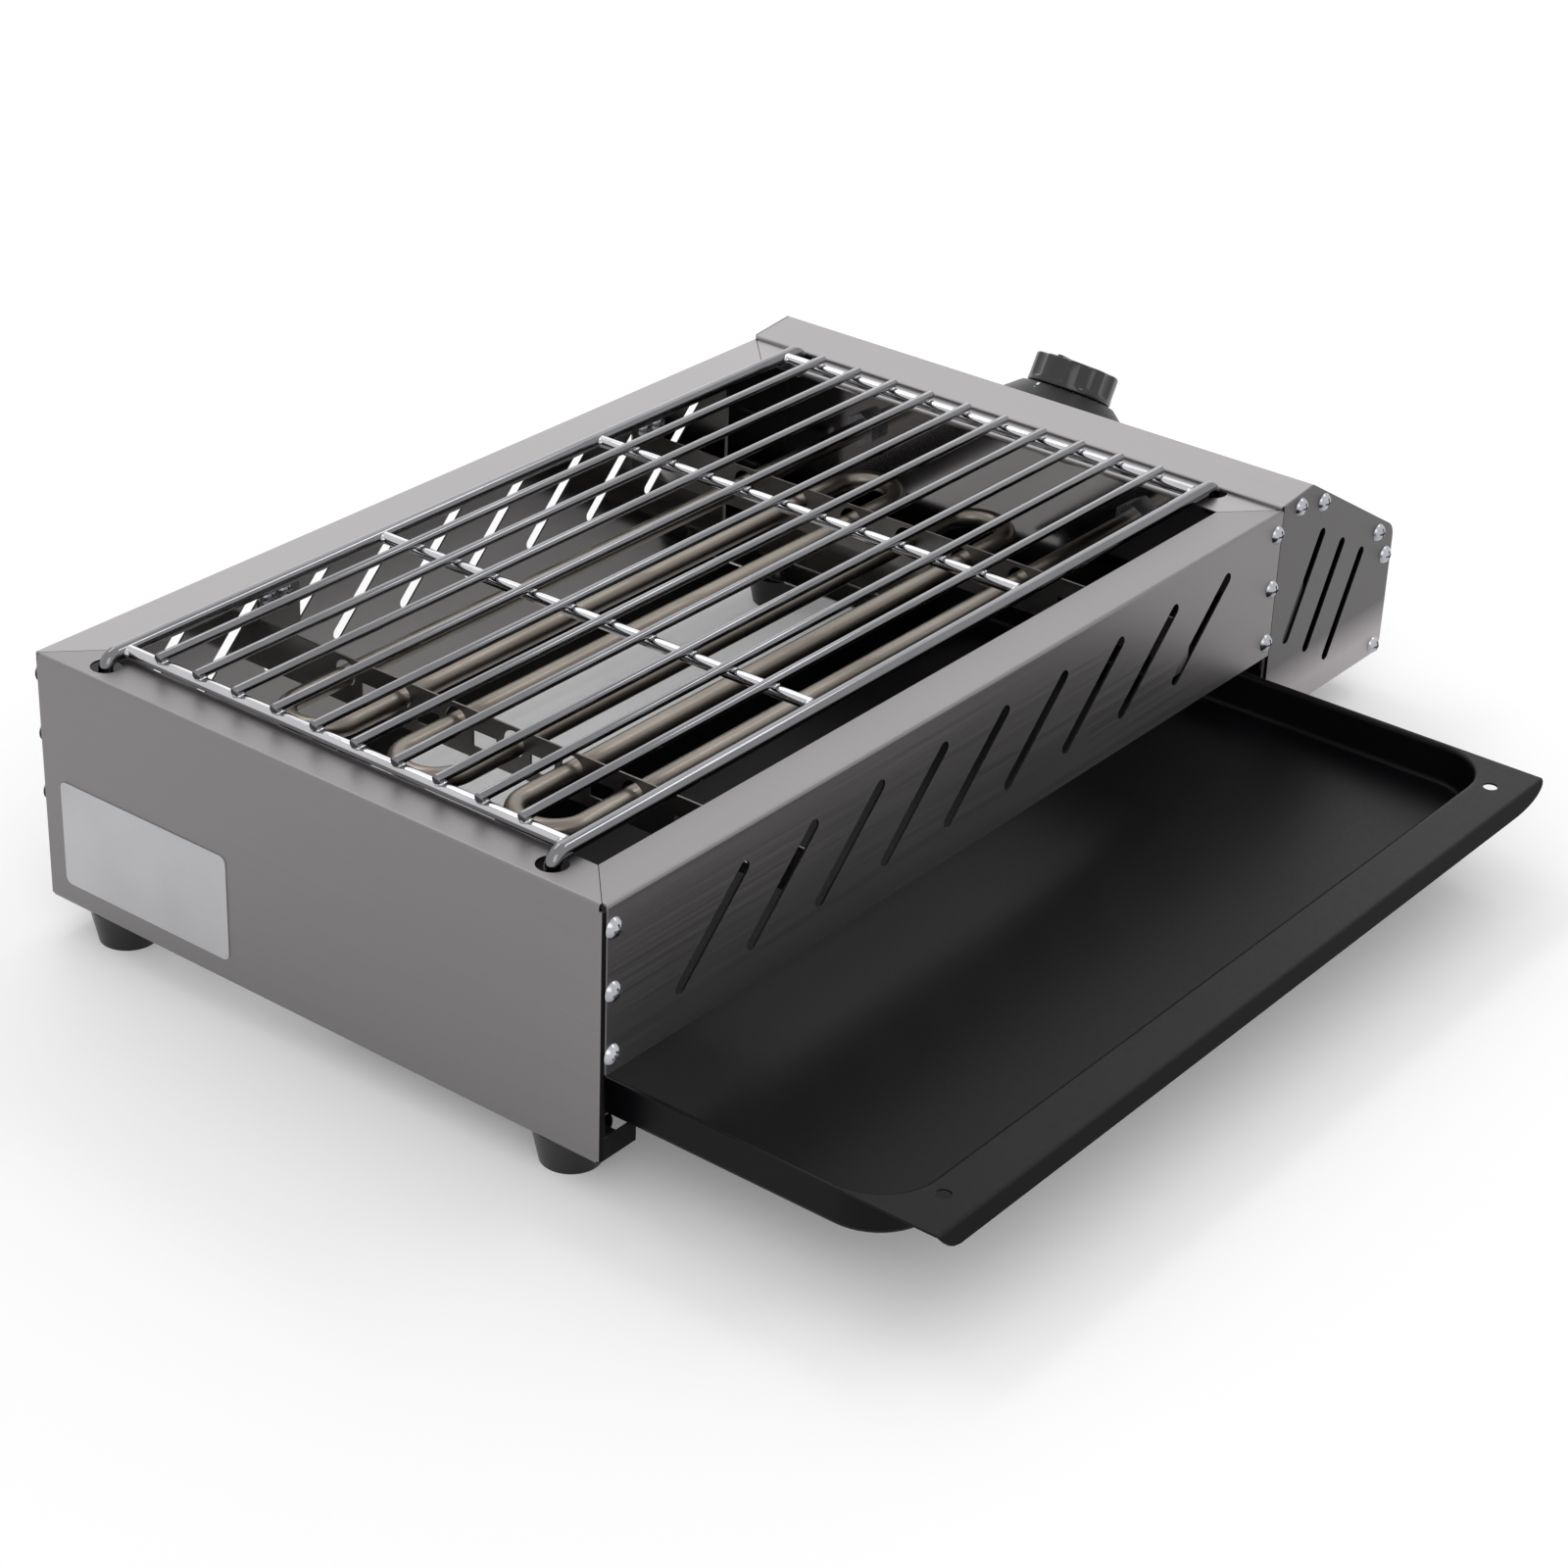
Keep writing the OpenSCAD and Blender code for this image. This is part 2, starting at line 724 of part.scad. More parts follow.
// Section of the cover's skin, with its hem on the chamber's flange
module cover_section() {
    inner = box_outline(sheet_t);
    inner_points = [for (i = [1:len(inner) - 1]) inner[i]];
    difference() {
        polygon(concat(
            [[chamber_l, body_h], [chamber_l + hem_w * 0.15, cover_z1 - 0.5], [chamber_l + hem_w * 0.5, cover_z1 - 0.1]],
            box_outline(0),
            [[body_l, box_z0], [chamber_l, box_z0]]));
        polygon(concat(
            [[chamber_l - 1, body_h], [plate_x0, body_h], [plate_x0 + 0.4, cover_z1 - sheet_t]],
            inner_points,
            [[body_l - sheet_t, -1], [chamber_l - 1, -1]]));
    }
}

// The cover's inner flange behind an end plate
module cover_flange() {
    skin = box_outline(sheet_t / 2);
    edge = box_outline(cover_flange_w);
    x0 = wall_x + sheet_t + mitre_gap;
    z0 = box_z0 + base_flange_h + mitre_gap;
    intersection() {
        difference() {
            polygon(concat(skin, [[body_l - sheet_t / 2, 0], [plate_x0, 0]]));
            polygon(concat(edge, [[body_l - cover_flange_w, -1], [plate_x0, -1]]));
        }
        translate([x0, z0]) square([body_l - x0, ridge_z - z0]);
    }
}

module box_cover() {
    color([0.72, 0.71, 0.73])
    difference() {
        union() {
            translate([0, body_d - sheet_t, 0])
            rotate([90, 0, 0]) linear_extrude(body_d - 2 * sheet_t) cover_section();
            for (y = [2 * sheet_t, body_d - sheet_t])
                translate([0, y, 0]) rotate([90, 0, 0]) linear_extrude(sheet_t) cover_flange();
        }
        box_screw_holes(2 * sheet_t);
        box_screw_holes(body_d - 2 * sheet_t);
        on_slope() {
            translate([0, 0, -5]) cylinder(d = bush_d + 0.4, h = 10);
            for (s = [-1, 1]) translate([0, s * thermo_screw_pitch / 2, -5]) cylinder(d = thread_d, h = 10);
        }
    }
}

module box_base() {
    x0 = wall_x + sheet_t;
    x1 = body_l - sheet_t;
    y0 = 2 * sheet_t;
    color(steel)
    difference() {
        translate([0, 0, box_z0]) {
            translate([x0, sheet_t, 0]) cube([x1 - x0, body_d - 2 * sheet_t, sheet_t]);
            translate([x1 - sheet_t, y0, 0]) cube([sheet_t, body_d - 2 * y0, base_flange_h]);
            for (y = [sheet_t, body_d - 2 * sheet_t])
                translate([x0, y, 0]) cube([x1 - x0, sheet_t, base_flange_h]);
        }
        box_screw_holes(2 * sheet_t);
        box_screw_holes(body_d - 2 * sheet_t);
        block_screw_places() screw_bore();
        translate([earth_x, earth_y, base_top]) screw_bore();
    }
}

module rating_plate() {
    r = 3;
    color([0.8, 0.8, 0.82])
    translate([0, body_d - plate_y - plate_l, plate_z])
    rotate([90, 0, -90])
    linear_extrude(plate_t) mirror([1, 0])
    difference() {
        square([plate_l, plate_h]);
        for (x = [0, 1], y = [0, 1])
            translate([x * plate_l, y * plate_h]) mirror([x, 0]) mirror([0, y])
            difference() {
                translate([-1, -1]) square(r + 1);
                translate([r, r]) circle(r = r);
            }
    }
}

// The tray's well rests on these shelves
rail_top = tray_floor_z - slide_clear;
rail_y0 = 10;
rail_l = body_d - 2 * rail_y0;
rail_shelf_w = 12;
rail_foot_w = 12;
rail_reach = tray_x0 + tray_rim_w + rail_shelf_w;

module tray_rail_left() {
    color(steel) translate([0, rail_y0, 0]) {
        translate([sheet_t, 0, rail_top - sheet_t]) cube([rail_reach - sheet_t, rail_l, sheet_t]);
        translate([sheet_t, 0, rail_top - sheet_t]) cube([sheet_t, rail_l, tray_h - 2]);
    }
}

module tray_rail_right() {
    far = tray_x0 + tray_w + 1.5;
    near = tray_x0 + tray_w - tray_rim_w - rail_shelf_w;
    color(steel)
    translate([0, rail_y0, 0]) {
        translate([near, 0, rail_top - sheet_t]) cube([far - near, rail_l, sheet_t]);
        translate([far - sheet_t, 0, sheet_t]) cube([sheet_t, rail_l, rail_top - sheet_t + tray_h - 4]);
        translate([far - sheet_t, 0, sheet_t]) cube([rail_foot_w, rail_l, sheet_t]);
    }
}

// A flat rectangle with round corners
module round_rect(l, w, r) {
    for (x = [r, l - r], y = [r, w - r]) translate([x, y]) circle(r = r);
    translate([r, 0]) square([l - 2 * r, w]);
    translate([0, r]) square([l, w - 2 * r]);
}

module drip_tray() {
    well_w = tray_w - 2 * tray_rim_w;
    well_l = tray_l - tray_rim_w - tray_front_rim_w;
    color(black)
    translate([tray_x0, -tray_out, 0])
    difference() {
        union() {
            translate([0, tray_lip_run, tray_z - sheet_t]) cube([tray_w, tray_l - tray_lip_run, sheet_t]);
            translate([tray_rim_w, tray_front_rim_w, tray_floor_z])
            linear_extrude(tray_h - sheet_t / 2) round_rect(well_w, well_l, tray_corner_r);
            // the sloping lip
            translate([0, 0, tray_z]) rotate([90, 0, 90]) linear_extrude(tray_w)
            polygon([
                [0, -tray_lip_h], [sheet_t, -tray_lip_h], [tray_lip_run + 2 * sheet_t, -sheet_t],
                [tray_lip_run + 2 * sheet_t, 0], [tray_lip_run, 0], [0, -tray_lip_h + sheet_t]
            ]);
        }
        translate([tray_rim_w + sheet_t, tray_front_rim_w + sheet_t, tray_floor_z + sheet_t])
        linear_extrude(tray_h)
        round_rect(well_w - 2 * sheet_t, well_l - 2 * sheet_t, tray_corner_r - sheet_t);
        for (x = [tray_hole_inset, tray_w - tray_hole_inset])
            translate([x, tray_hole_y, tray_z - 2 * sheet_t]) cylinder(d = tray_hole_d, h = 4 * sheet_t);
    }
}

// A bent rod: straight stretch with a quarter bend and a leg at each end
module side_rod() {
    half = rack_leg_span / 2;
    leg = rod_z - rod_bend_r - (body_h - leg_depth);
    translate([-half + rod_bend_r, 0, 0])
    rotate([0, 90, 0]) cylinder(d = rod_d, h = rack_leg_span - 2 * rod_bend_r);
    for (s = [0, 1])
        mirror([s, 0, 0]) {
            translate([half - rod_bend_r, 0, -rod_bend_r])
            rotate([90, 0, 0])
            rotate_extrude(angle = 90) translate([rod_bend_r, 0]) circle(d = rod_d);
            translate([half, 0, -rod_bend_r - leg]) cylinder(d = rod_d, h = leg);
        }
}

module rack_side_rods() {
    color(chrome)
    for (s = [-1, 1]) translate([rack_x, rack_y + s * rack_w / 2, rod_z]) side_rod();
}

function wire_x(i) = wire_x0 + i * wire_span / (wire_count - 1)
    + (i > 0 && i < wire_count - 1 ? inner_wire_shift : 0);

module rack_cross_wires() {
    reach = rack_w - rod_d + 2 * weld_depth;
    color(chrome)
    for (i = [0:wire_count - 1])
        translate([wire_x(i), rack_y - reach / 2, rod_z])
        rotate([-90, 0, 0]) cylinder(d = wire_d, h = reach);
}

module rack_bars() {
    color(chrome)
    for (i = [0:bar_count - 1])
        translate([bar_x0, rack_y + (i - (bar_count - 1) / 2) * bar_pitch, bar_z])
        rotate([0, 90, 0]) cylinder(d = bar_d, h = bar_l);
}

// Half a turn of tube between two runs
module tube_bend(x, y, dir) {
    translate([x, y, tube_z])
    rotate([0, 0, dir > 0 ? -90 : 90])
    rotate_extrude(angle = 180) translate([run_pitch / 2, 0]) circle(d = tube_d);
}

function run_y(i) = run_y0 - i * run_pitch;

module heating_element() {
    color([0.5, 0.48, 0.45]) {
        for (i = [0:run_count - 1]) {
            last = i == 0 || i == run_count - 1;
            x1 = last ? wall_x + sheet_t + tube_tail : bend_x2;
            translate([bend_x1, run_y(i), tube_z]) rotate([0, 90, 0]) cylinder(d = tube_d, h = x1 - bend_x1);
        }
        for (i = [0:2:run_count - 2]) tube_bend(bend_x1, (run_y(i) + run_y(i + 1)) / 2, -1);
        for (i = [1:2:run_count - 3]) tube_bend(bend_x2, (run_y(i) + run_y(i + 1)) / 2, 1);
    }
}

// Places where the element's two ends pass the chamber wall
module element_ends(x) {
    for (y = [run_y0, run_y5]) translate([x, y, tube_z]) rotate([0, 90, 0]) children();
}

module hex_ring(across, bore, h) {
    difference() {
        cylinder(d = across / cos(30), h = h, $fn = 6);
        translate([0, 0, -1]) cylinder(d = bore, h = h + 2);
    }
}

module element_collars() {
    color(zinc) element_ends(wall_x - collar_h) hex_ring(collar_w, tube_d, collar_h);
}

module element_nuts() {
    color(zinc) element_ends(wall_x + sheet_t) hex_ring(collar_w, tube_d, nut_h);
}

tube_end_x = wall_x + sheet_t + tube_tail;

module element_insulators() {
    color(ceramic) element_ends(tube_end_x)
    difference() {
        cylinder(d = tube_d - 1, h = insulator_l);
        translate([0, 0, -1]) cylinder(d = pin_d, h = insulator_l + 2);
    }
}

module element_pins() {
    color(brass) element_ends(tube_end_x) cylinder(d = pin_d, h = insulator_l + pin_l);
}

// A plate across the chamber that carries the tube in round holes
module heater_support(x, dir) {
    y0 = 2 * sheet_t;
    y1 = body_d - sheet_t;
    window_pitch = 26;
    hole_z = tube_z - tube_d / 2 + support_hole_d / 2 - rest_gap;
    color(dark_steel)
    difference() {
        union() {
            translate([x - sheet_t / 2, sheet_t, support_z]) cube([sheet_t, y1 - sheet_t, support_h]);
            // fixing tab on the rear panel, and a small foot behind the front panel
            translate([dir > 0 ? x - sheet_t / 2 : x + sheet_t / 2 - tab_w, y1 - sheet_t, support_z + 9])
            cube([tab_w, sheet_t, tab_h]);
            translate([dir > 0 ? x - sheet_t / 2 : x + sheet_t / 2 - tab_w / 2, sheet_t, support_z])
            cube([tab_w / 2, sheet_t, support_h]);
        }
        for (i = [0:run_count - 1])
            translate([x, run_y(i), hole_z])
            rotate([0, 90, 0]) cylinder(d = support_hole_d, h = 4 * sheet_t, center = true);
        for (i = [0:run_count - 2])
            translate([x - 2 * sheet_t, (run_y(i) + run_y(i + 1)) / 2 - window_w / 2, support_z + 5])
            cube([4 * sheet_t, window_w, window_h]);
        for (y = [run_y5 - 2 * window_pitch, run_y5 - window_pitch])
            translate([x - 2 * sheet_t, y - window_w / 2, support_z + 5]) cube([4 * sheet_t, window_w, window_h]);
        support_screw_places(x, dir) screw_bore();
    }
}

// Clears a screw's thread through sheets behind its seat
module screw_bore() {
    translate([0, 0, -5 * sheet_t]) cylinder(d = thread_d, h = 10 * sheet_t);
}

module support_screw_places(x, dir) {
    for (i = [0, 1])
        translate([x + dir * (tab_screw_x + i * tab_screw_pitch), body_d - 2 * sheet_t, support_z + tab_screw_z])
        rotate([90, 0, 0]) children();
}

module heater_support_left() {
    heater_support(support_x1, 1);
}

module heater_support_right() {
    heater_support(support_x2, -1);
}

// A pan-head screw along +Z, its head's seat at z = 0 and its thread below
module screw(l) {
    recess_w = 0.9;
    recess_l = head_d * 0.55;
    translate([0, 0, -l]) cylinder(d = thread_d, h = l + eps);
    difference() {
        rotate_extrude()
        intersection() {
            translate([0, -head_d * 0.55 + head_h]) circle(d = head_d * 1.1, $fn = 96);
            square([head_d / 2, head_h]);
        }
        for (a = [0, 90])
            rotate(a) translate([-recess_l / 2, -recess_w / 2, head_h - 1.2]) cube([recess_l, recess_w, 2]);
    }
}

module support_screws() {
    color(zinc) {
        support_screw_places(support_x1, 1) screw(3 * sheet_t);
        support_screw_places(support_x2, -1) screw(3 * sheet_t);
    }
}

module front_panel_screws() {
    color(zinc)
    for (x = panel_screw_x, z = panel_screw_z)
        translate([x, 0, z]) rotate([90, 0, 0]) screw(thread_l);
}

module rear_panel_screws() {
    color(zinc)
    for (x = panel_screw_x, z = panel_screw_z)
        translate([x, body_d, z]) rotate([-90, 0, 0]) screw(thread_l);
}

module box_front_screws() {
    color(zinc)
    for (p = box_screws) translate([p[0], 0, p[1]]) rotate([90, 0, 0]) screw(thread_l);
}

module box_rear_screws() {
    color(zinc)
    for (p = box_screws) translate([p[0], body_d, p[1]]) rotate([-90, 0, 0]) screw(thread_l);
}

// The knob's axis: z = 0 on the slope's outer skin, +Z away from it
module on_slope() {
    translate([knob_x, knob_y, knob_z]) rotate([0, slope_a, 0]) children();
}

knob_gap = 0.5;
shaft_top = bezel_h + knob_gap + knob_h - 4;
shaft_foot = -thermo_plate_t - sheet_t - 10;

module control_knob() {
    flute_r = 11;
    flute_depth = 1.1;
    base_h = 2.5;
    color(black)
    on_slope() translate([0, 0, bezel_h + knob_gap])
    difference() {
        union() {
            cylinder(d = knob_d, h = knob_h - 1);
            translate([0, 0, knob_h - 1]) cylinder(d1 = knob_d, d2 = knob_d - 2, h = 1, $fn = 96);
            // raised pointer on the top face
            translate([-knob_d / 2 + 2, -1.2, knob_h - eps]) cube([10, 2.4, 0.8]);
        }
        for (i = [0:flute_count - 1])
            rotate((i + 0.5) * 360 / flute_count)
            translate([knob_d / 2 + flute_r - flute_depth, 0, base_h]) cylinder(r = flute_r, h = knob_h);
        // blind bore for the shaft
        translate([0, 0, -1]) cylinder(d = shaft_d, h = knob_h - 4 + 1);
    }
}

module knob_bezel() {
    wall = 2;
    color(black)
    on_slope()
    rotate_extrude($fn = 96)
    polygon([
        [bush_d / 2 + 2, bezel_h], [bezel_top_d / 2 - 0.8, bezel_h], [bezel_top_d / 2, bezel_h - 0.6],
        [bezel_d / 2, 1.2], [bezel_d / 2, 0], [bezel_d / 2 - wall, 0],
        [bezel_top_d / 2 - wall, bezel_h - wall], [bush_d / 2 + 2, bezel_h - wall]
    ]);
}

module thermostat_shaft() {
    color(zinc)
    on_slope() translate([0, 0, shaft_foot]) cylinder(d = shaft_d, h = shaft_top - shaft_foot);
}

module thermostat_body() {
    color([0.82, 0.8, 0.76])
    on_slope()
    difference() {
        union() {
            translate([-thermo_l / 2, -thermo_w / 2, -sheet_t - thermo_plate_t - thermo_h])
            cube([thermo_l, thermo_w, thermo_h]);
            translate([-thermo_l / 2, -thermo_w / 2 - 3, -sheet_t - thermo_plate_t])
            cube([thermo_l, thermo_w + 6, thermo_plate_t]);
            translate([0, 0, -sheet_t - eps]) cylinder(d = bush_d, h = sheet_t + 4);
            for (y = [-9, 9])
                translate([-thermo_l / 2 + 6, y - 3, -sheet_t - thermo_plate_t - thermo_h - 7]) cube([0.8, 6, 7 + eps]);
        }
        translate([0, 0, shaft_foot - 0.3]) cylinder(d = shaft_d + 2 * shaft_clear, h = 30);
        for (s = [-1, 1])
            translate([0, s * thermo_screw_pitch / 2, -sheet_t - 8]) cylinder(d = thread_d, h = 10);
    }
}

module thermostat_screws() {
    color(zinc)
    on_slope()
    for (s = [-1, 1]) translate([0, s * thermo_screw_pitch / 2, 0]) screw(6);
}

// Thermostat sensor: a bulb clipped to the chamber wall inside the control
// box, and its capillary tube up to the thermostat's side
bulb_x = wall_x + sheet_t + bulb_in;
capillary_run = 8;

module sensor_bulb() {
    side_x = knob_x - thermo_h / 2 * sin(slope_a);
    side_y = knob_y - thermo_w / 2 - eps;
    side_z = knob_z - thermo_h / 2 * cos(slope_a);
    color([0.75, 0.6, 0.45]) {
        translate([bulb_x, sensor_y, sensor_z]) rotate([-90, 0, 0]) cylinder(d = bulb_d, h = bulb_l);
        wire([
            [bulb_x, sensor_y + eps, sensor_z],
            [bulb_x, sensor_y - capillary_run, sensor_z],
            [bulb_x + capillary_run, sensor_y - 2 * capillary_run, sensor_z + capillary_run],
            [side_x, side_y - 2 * capillary_run, side_z],
            [side_x, side_y, side_z]
        ], capillary_d);
    }
}

module sensor_clips() {
    foot_l = 12;
    color(zinc)
    for (share = [0.3, 0.8])
        translate([wall_x + sheet_t, sensor_y + share * bulb_l, sensor_z])
        rotate([90, 0, 0])
        linear_extrude(6, center = true)
        difference() {
            union() {
                translate([bulb_in, 0]) circle(d = bulb_d + 1.6);
                translate([0, 0.2]) square([bulb_in, 2.2]);
                translate([0, -1]) square([1, foot_l]);
            }
            translate([bulb_in, 0]) circle(d = bulb_d);
        }
}

block_x = body_l - block_in;
block_y = body_d - block_rear_y;
block_hole_z = base_top + block_h / 2 + 1;

// Two screws between the block's three wire holes
module block_screw_places() {
    for (s = [-1, 1]) translate([block_x, block_y + s * block_pitch / 2, base_top]) children();
}

module terminal_block() {
    color(ceramic)
    difference() {
        translate([block_x - block_w / 2, block_y - block_l / 2, base_top]) cube([block_w, block_l, block_h]);
        for (i = [-1, 0, 1])
            translate([block_x, block_y + i * block_pitch, block_hole_z])
            rotate([0, 90, 0]) cylinder(d = wire_gauge + 1.4, h = block_w + 2, center = true);
        block_screw_places() translate([0, 0, -1]) cylinder(d = thread_d, h = block_h + 3);
    }
}

module terminal_block_screws() {
    color(zinc)
    block_screw_places() translate([0, 0, block_h]) screw(block_h + 2 * sheet_t);
}

earth_x = body_l - earth_in;

module earth_screw() {
    color(brass) translate([earth_x, earth_y, base_top]) screw(4 * sheet_t);
}

// A wire swept along points: rings of eight sides, mitred at each point
wire_sides = 8;

function unit(v) = v / norm(v);

function path_dir(p, i) = i == 0 ? unit(p[1] - p[0])
    : i == len(p) - 1 ? unit(p[i] - p[i - 1])
    : unit(unit(p[i] - p[i - 1]) + unit(p[i + 1] - p[i]));

function side_dir(d) = abs(d[2]) > 0.95 ? [1, 0, 0] : unit(cross(d, [0, 0, 1]));

// Corners of the path eased by two points each
function eased(p) = [
    p[0],
    for (i = [1:len(p) - 2])
        for (t = [-1, 0, 1])
            t < 0 ? p[i] + unit(p[i - 1] - p[i]) * 3 : t > 0 ? p[i] + unit(p[i + 1] - p[i]) * 3
            : p[i] + (unit(p[i - 1] - p[i]) + unit(p[i + 1] - p[i])) * 0.8,
    p[len(p) - 1]
];

module wire(route, d) {
    p = eased(route);
    n = wire_sides;
    m = len(p);
    rings = [for (i = [0:m - 1])
        let (t = path_dir(p, i), a = side_dir(t), b = cross(t, a))
        for (k = [0:n - 1]) p[i] + (a * cos(k * 360 / n) + b * sin(k * 360 / n)) * d / 2];
    sides = [for (i = [0:m - 2], k = [0:n - 1])
        let (k2 = (k + 1) % n)
        for (f = [[i * n + k, i * n + n + k2, i * n + k2], [i * n + k, i * n + n + k, i * n + n + k2]]) f];
    caps = [[for (k = [0:n - 1]) k], [for (k = [n - 1:-1:0]) (m - 1) * n + k]];
    polyhedron(rings, concat(sides, caps));
}

pin_end_x = tube_end_x + insulator_l + pin_l;
wire_start_x = pin_end_x + wire_gauge / 2 + 0.1;
wire_drop_x = block_x - block_w / 2 - 7;
wire_end_in = 4;

module live_wire() {
    color([0.55, 0.2, 0.15])
    wire([
        [wire_start_x, run_y0, tube_z],
        [wire_start_x + 0.4, run_y0 - 8, tube_z - 7],
        [wire_drop_x, block_y + block_pitch + 2, block_hole_z + 24],
        [wire_drop_x, block_y + block_pitch, block_hole_z + 10],
        [wire_drop_x + 2, block_y + block_pitch, block_hole_z],
        [block_x - block_w / 2 + wire_end_in, block_y + block_pitch, block_hole_z]
    ], wire_gauge);
}

module neutral_wire() {
    color([0.2, 0.3, 0.6])
    wire([
        [wire_start_x, run_y5, tube_z],
        [wire_start_x + 0.4, run_y5 + 9, tube_z - 12],
        [wire_drop_x + 2, run_y5 + 0.35 * (block_y - run_y5), block_hole_z + 12],
        [wire_drop_x, block_y - 30, block_hole_z + 3],
        [wire_drop_x - 2, block_y - 8, block_hole_z],
        [wire_drop_x + 1, block_y, block_hole_z],
        [block_x - block_w / 2 + wire_end_in, block_y, block_hole_z]
    ], wire_gauge);
}

module earth_wire() {
    far_x = block_x + block_w / 2;
    color([0.5, 0.6, 0.2])
    wire([
        [earth_x, earth_y + head_d / 2 + wire_gauge / 2 + 0.2, base_top + wire_gauge / 2 + 0.2],
        [earth_x + 2, earth_y + 20, base_top + 3],
        [earth_x, block_y - 60, base_top + 4],
        [earth_x, block_y - 20, block_hole_z - 1],
        [far_x + 7, block_y - block_pitch, block_hole_z],
        [far_x - wire_end_in, block_y - block_pitch, block_hole_z]
    ], wire_gauge);
}

module cord_gland() {
    color(black)
    translate([gland_x, body_d, gland_z])
    rotate([-90, 0, 0])
    difference() {
        union() {
            cylinder(d = gland_d + 6, h = gland_flange_h - 1);
            translate([0, 0, gland_flange_h - 1]) cylinder(d1 = gland_d + 6, d2 = gland_d + 3, h = 1, $fn = 48);
            translate([0, 0, -14]) cylinder(d = gland_d, h = 14 + eps);
        }
        translate([0, 0, -20]) cylinder(d = 8.5, h = 40);
    }
}

module gland_nut() {
    color(black)
    translate([gland_x, body_d - sheet_t - gland_nut_h, gland_z])
    rotate([-90, 0, 0]) hex_ring(gland_nut_w, gland_d, gland_nut_h);
}

module foot(x, y) {
    color(black)
    translate([x, y, -foot_h])
    difference() {
        cylinder(d1 = foot_d, d2 = foot_top_d, h = foot_h, $fn = 64);
        translate([0, 0, -1]) cylinder(d = head_d + 2, h = 7);
        cylinder(d = thread_d, h = foot_h + 1);
    }
}

module foot_screws() {
    color(zinc) foot_places() translate([0, 0, -foot_h + 6]) mirror([0, 0, 1]) screw(foot_h - 6 + 4);
}

translate([-origin_x, -origin_y, foot_h]) {
    left_end_panel();
    front_panel();
    rear_panel();
    right_end_frame();
    box_cover();
    box_front_plate();
    box_rear_plate();
    box_base();
    rating_plate();
    tray_rail_left();
    tray_rail_right();
    drip_tray();
    rack_side_rods();
    rack_cross_wires();
    rack_bars();
    heating_element();
    element_collars();
    element_nuts();
    element_insulators();
    element_pins();
    heater_support_left();
    heater_support_right();
    support_screws();
    front_panel_screws();
    rear_panel_screws();
    box_front_screws();
    box_rear_screws();
    control_knob();
    knob_bezel();
    thermostat_shaft();
    thermostat_body();
    thermostat_screws();
    sensor_bulb();
    sensor_clips();
    terminal_block();
    terminal_block_screws();
    live_wire();
    neutral_wire();
    earth_wire();
    earth_screw();
    cord_gland();
    gland_nut();
    foot(foot_x, foot_y);  // foot_front_left
    foot(chamber_l - foot_right_x, foot_y);  // foot_front_right
    foot(foot_x, body_d - foot_y);  // foot_rear_left
    foot(chamber_l - foot_right_x, body_d - foot_y);  // foot_rear_right
    foot_screws();
}
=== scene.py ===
import json
import math
import bmesh
import bpy
from mathutils import Matrix, Quaternion, Vector


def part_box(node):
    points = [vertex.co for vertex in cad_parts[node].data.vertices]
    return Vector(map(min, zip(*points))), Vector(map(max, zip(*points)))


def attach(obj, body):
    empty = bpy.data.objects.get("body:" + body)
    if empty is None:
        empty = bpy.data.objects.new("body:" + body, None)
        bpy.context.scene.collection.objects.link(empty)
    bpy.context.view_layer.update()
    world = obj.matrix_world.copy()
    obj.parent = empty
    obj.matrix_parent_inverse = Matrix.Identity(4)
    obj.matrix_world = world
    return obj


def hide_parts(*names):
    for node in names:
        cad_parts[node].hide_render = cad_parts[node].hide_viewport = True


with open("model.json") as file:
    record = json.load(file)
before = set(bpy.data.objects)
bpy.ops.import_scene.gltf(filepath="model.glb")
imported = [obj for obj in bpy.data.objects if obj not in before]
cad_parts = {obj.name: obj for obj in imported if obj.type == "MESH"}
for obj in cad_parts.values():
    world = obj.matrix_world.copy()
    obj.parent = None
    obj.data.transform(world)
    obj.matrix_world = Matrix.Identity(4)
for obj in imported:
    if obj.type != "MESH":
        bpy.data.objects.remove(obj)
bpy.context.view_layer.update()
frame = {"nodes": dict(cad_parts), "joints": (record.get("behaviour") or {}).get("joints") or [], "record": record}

mm = 0.001
print("frame loaded:", len(frame["nodes"]), "nodes")


# A node's box in mm
def boxOf(node):
    low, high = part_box(node)
    return [v / mm for v in low], [v / mm for v in high]


# Colours and nodes

def hexToLinear(hexColour):
    channels = [int(hexColour[i:i + 2], 16) / 255 for i in (1, 3, 5)]
    return [c / 12.92 if c <= 0.04045 else ((c + 0.055) / 1.055) ** 2.4 for c in channels] + [1.0]


# Sockets go by name or number: a Mix node's colours are inputs 6 and 7 and output 2,
# its plain numbers inputs 2 and 3 and output 0
def addNode(tree, kind, settings=None, values=None, links=None):
    node = tree.nodes.new(kind)
    for name, setting in (settings or {}).items():
        setattr(node, name, setting)
    for name, value in (values or {}).items():
        node.inputs[name].default_value = value
    for name, source in (links or {}).items():
        tree.links.new(source, node.inputs[name])
    return node


def newMaterial(name, colour, metallic, roughness, **more):
    material = bpy.data.materials.new(name)
    material.use_nodes = True
    shader = material.node_tree.nodes["Principled BSDF"]
    shader.inputs["Base Color"].default_value = hexToLinear(colour)
    shader.inputs["Metallic"].default_value = metallic
    shader.inputs["Roughness"].default_value = roughness
    for socket, value in more.items():
        shader.inputs[socket.replace("_", " ")].default_value = value
    return material, material.node_tree, shader


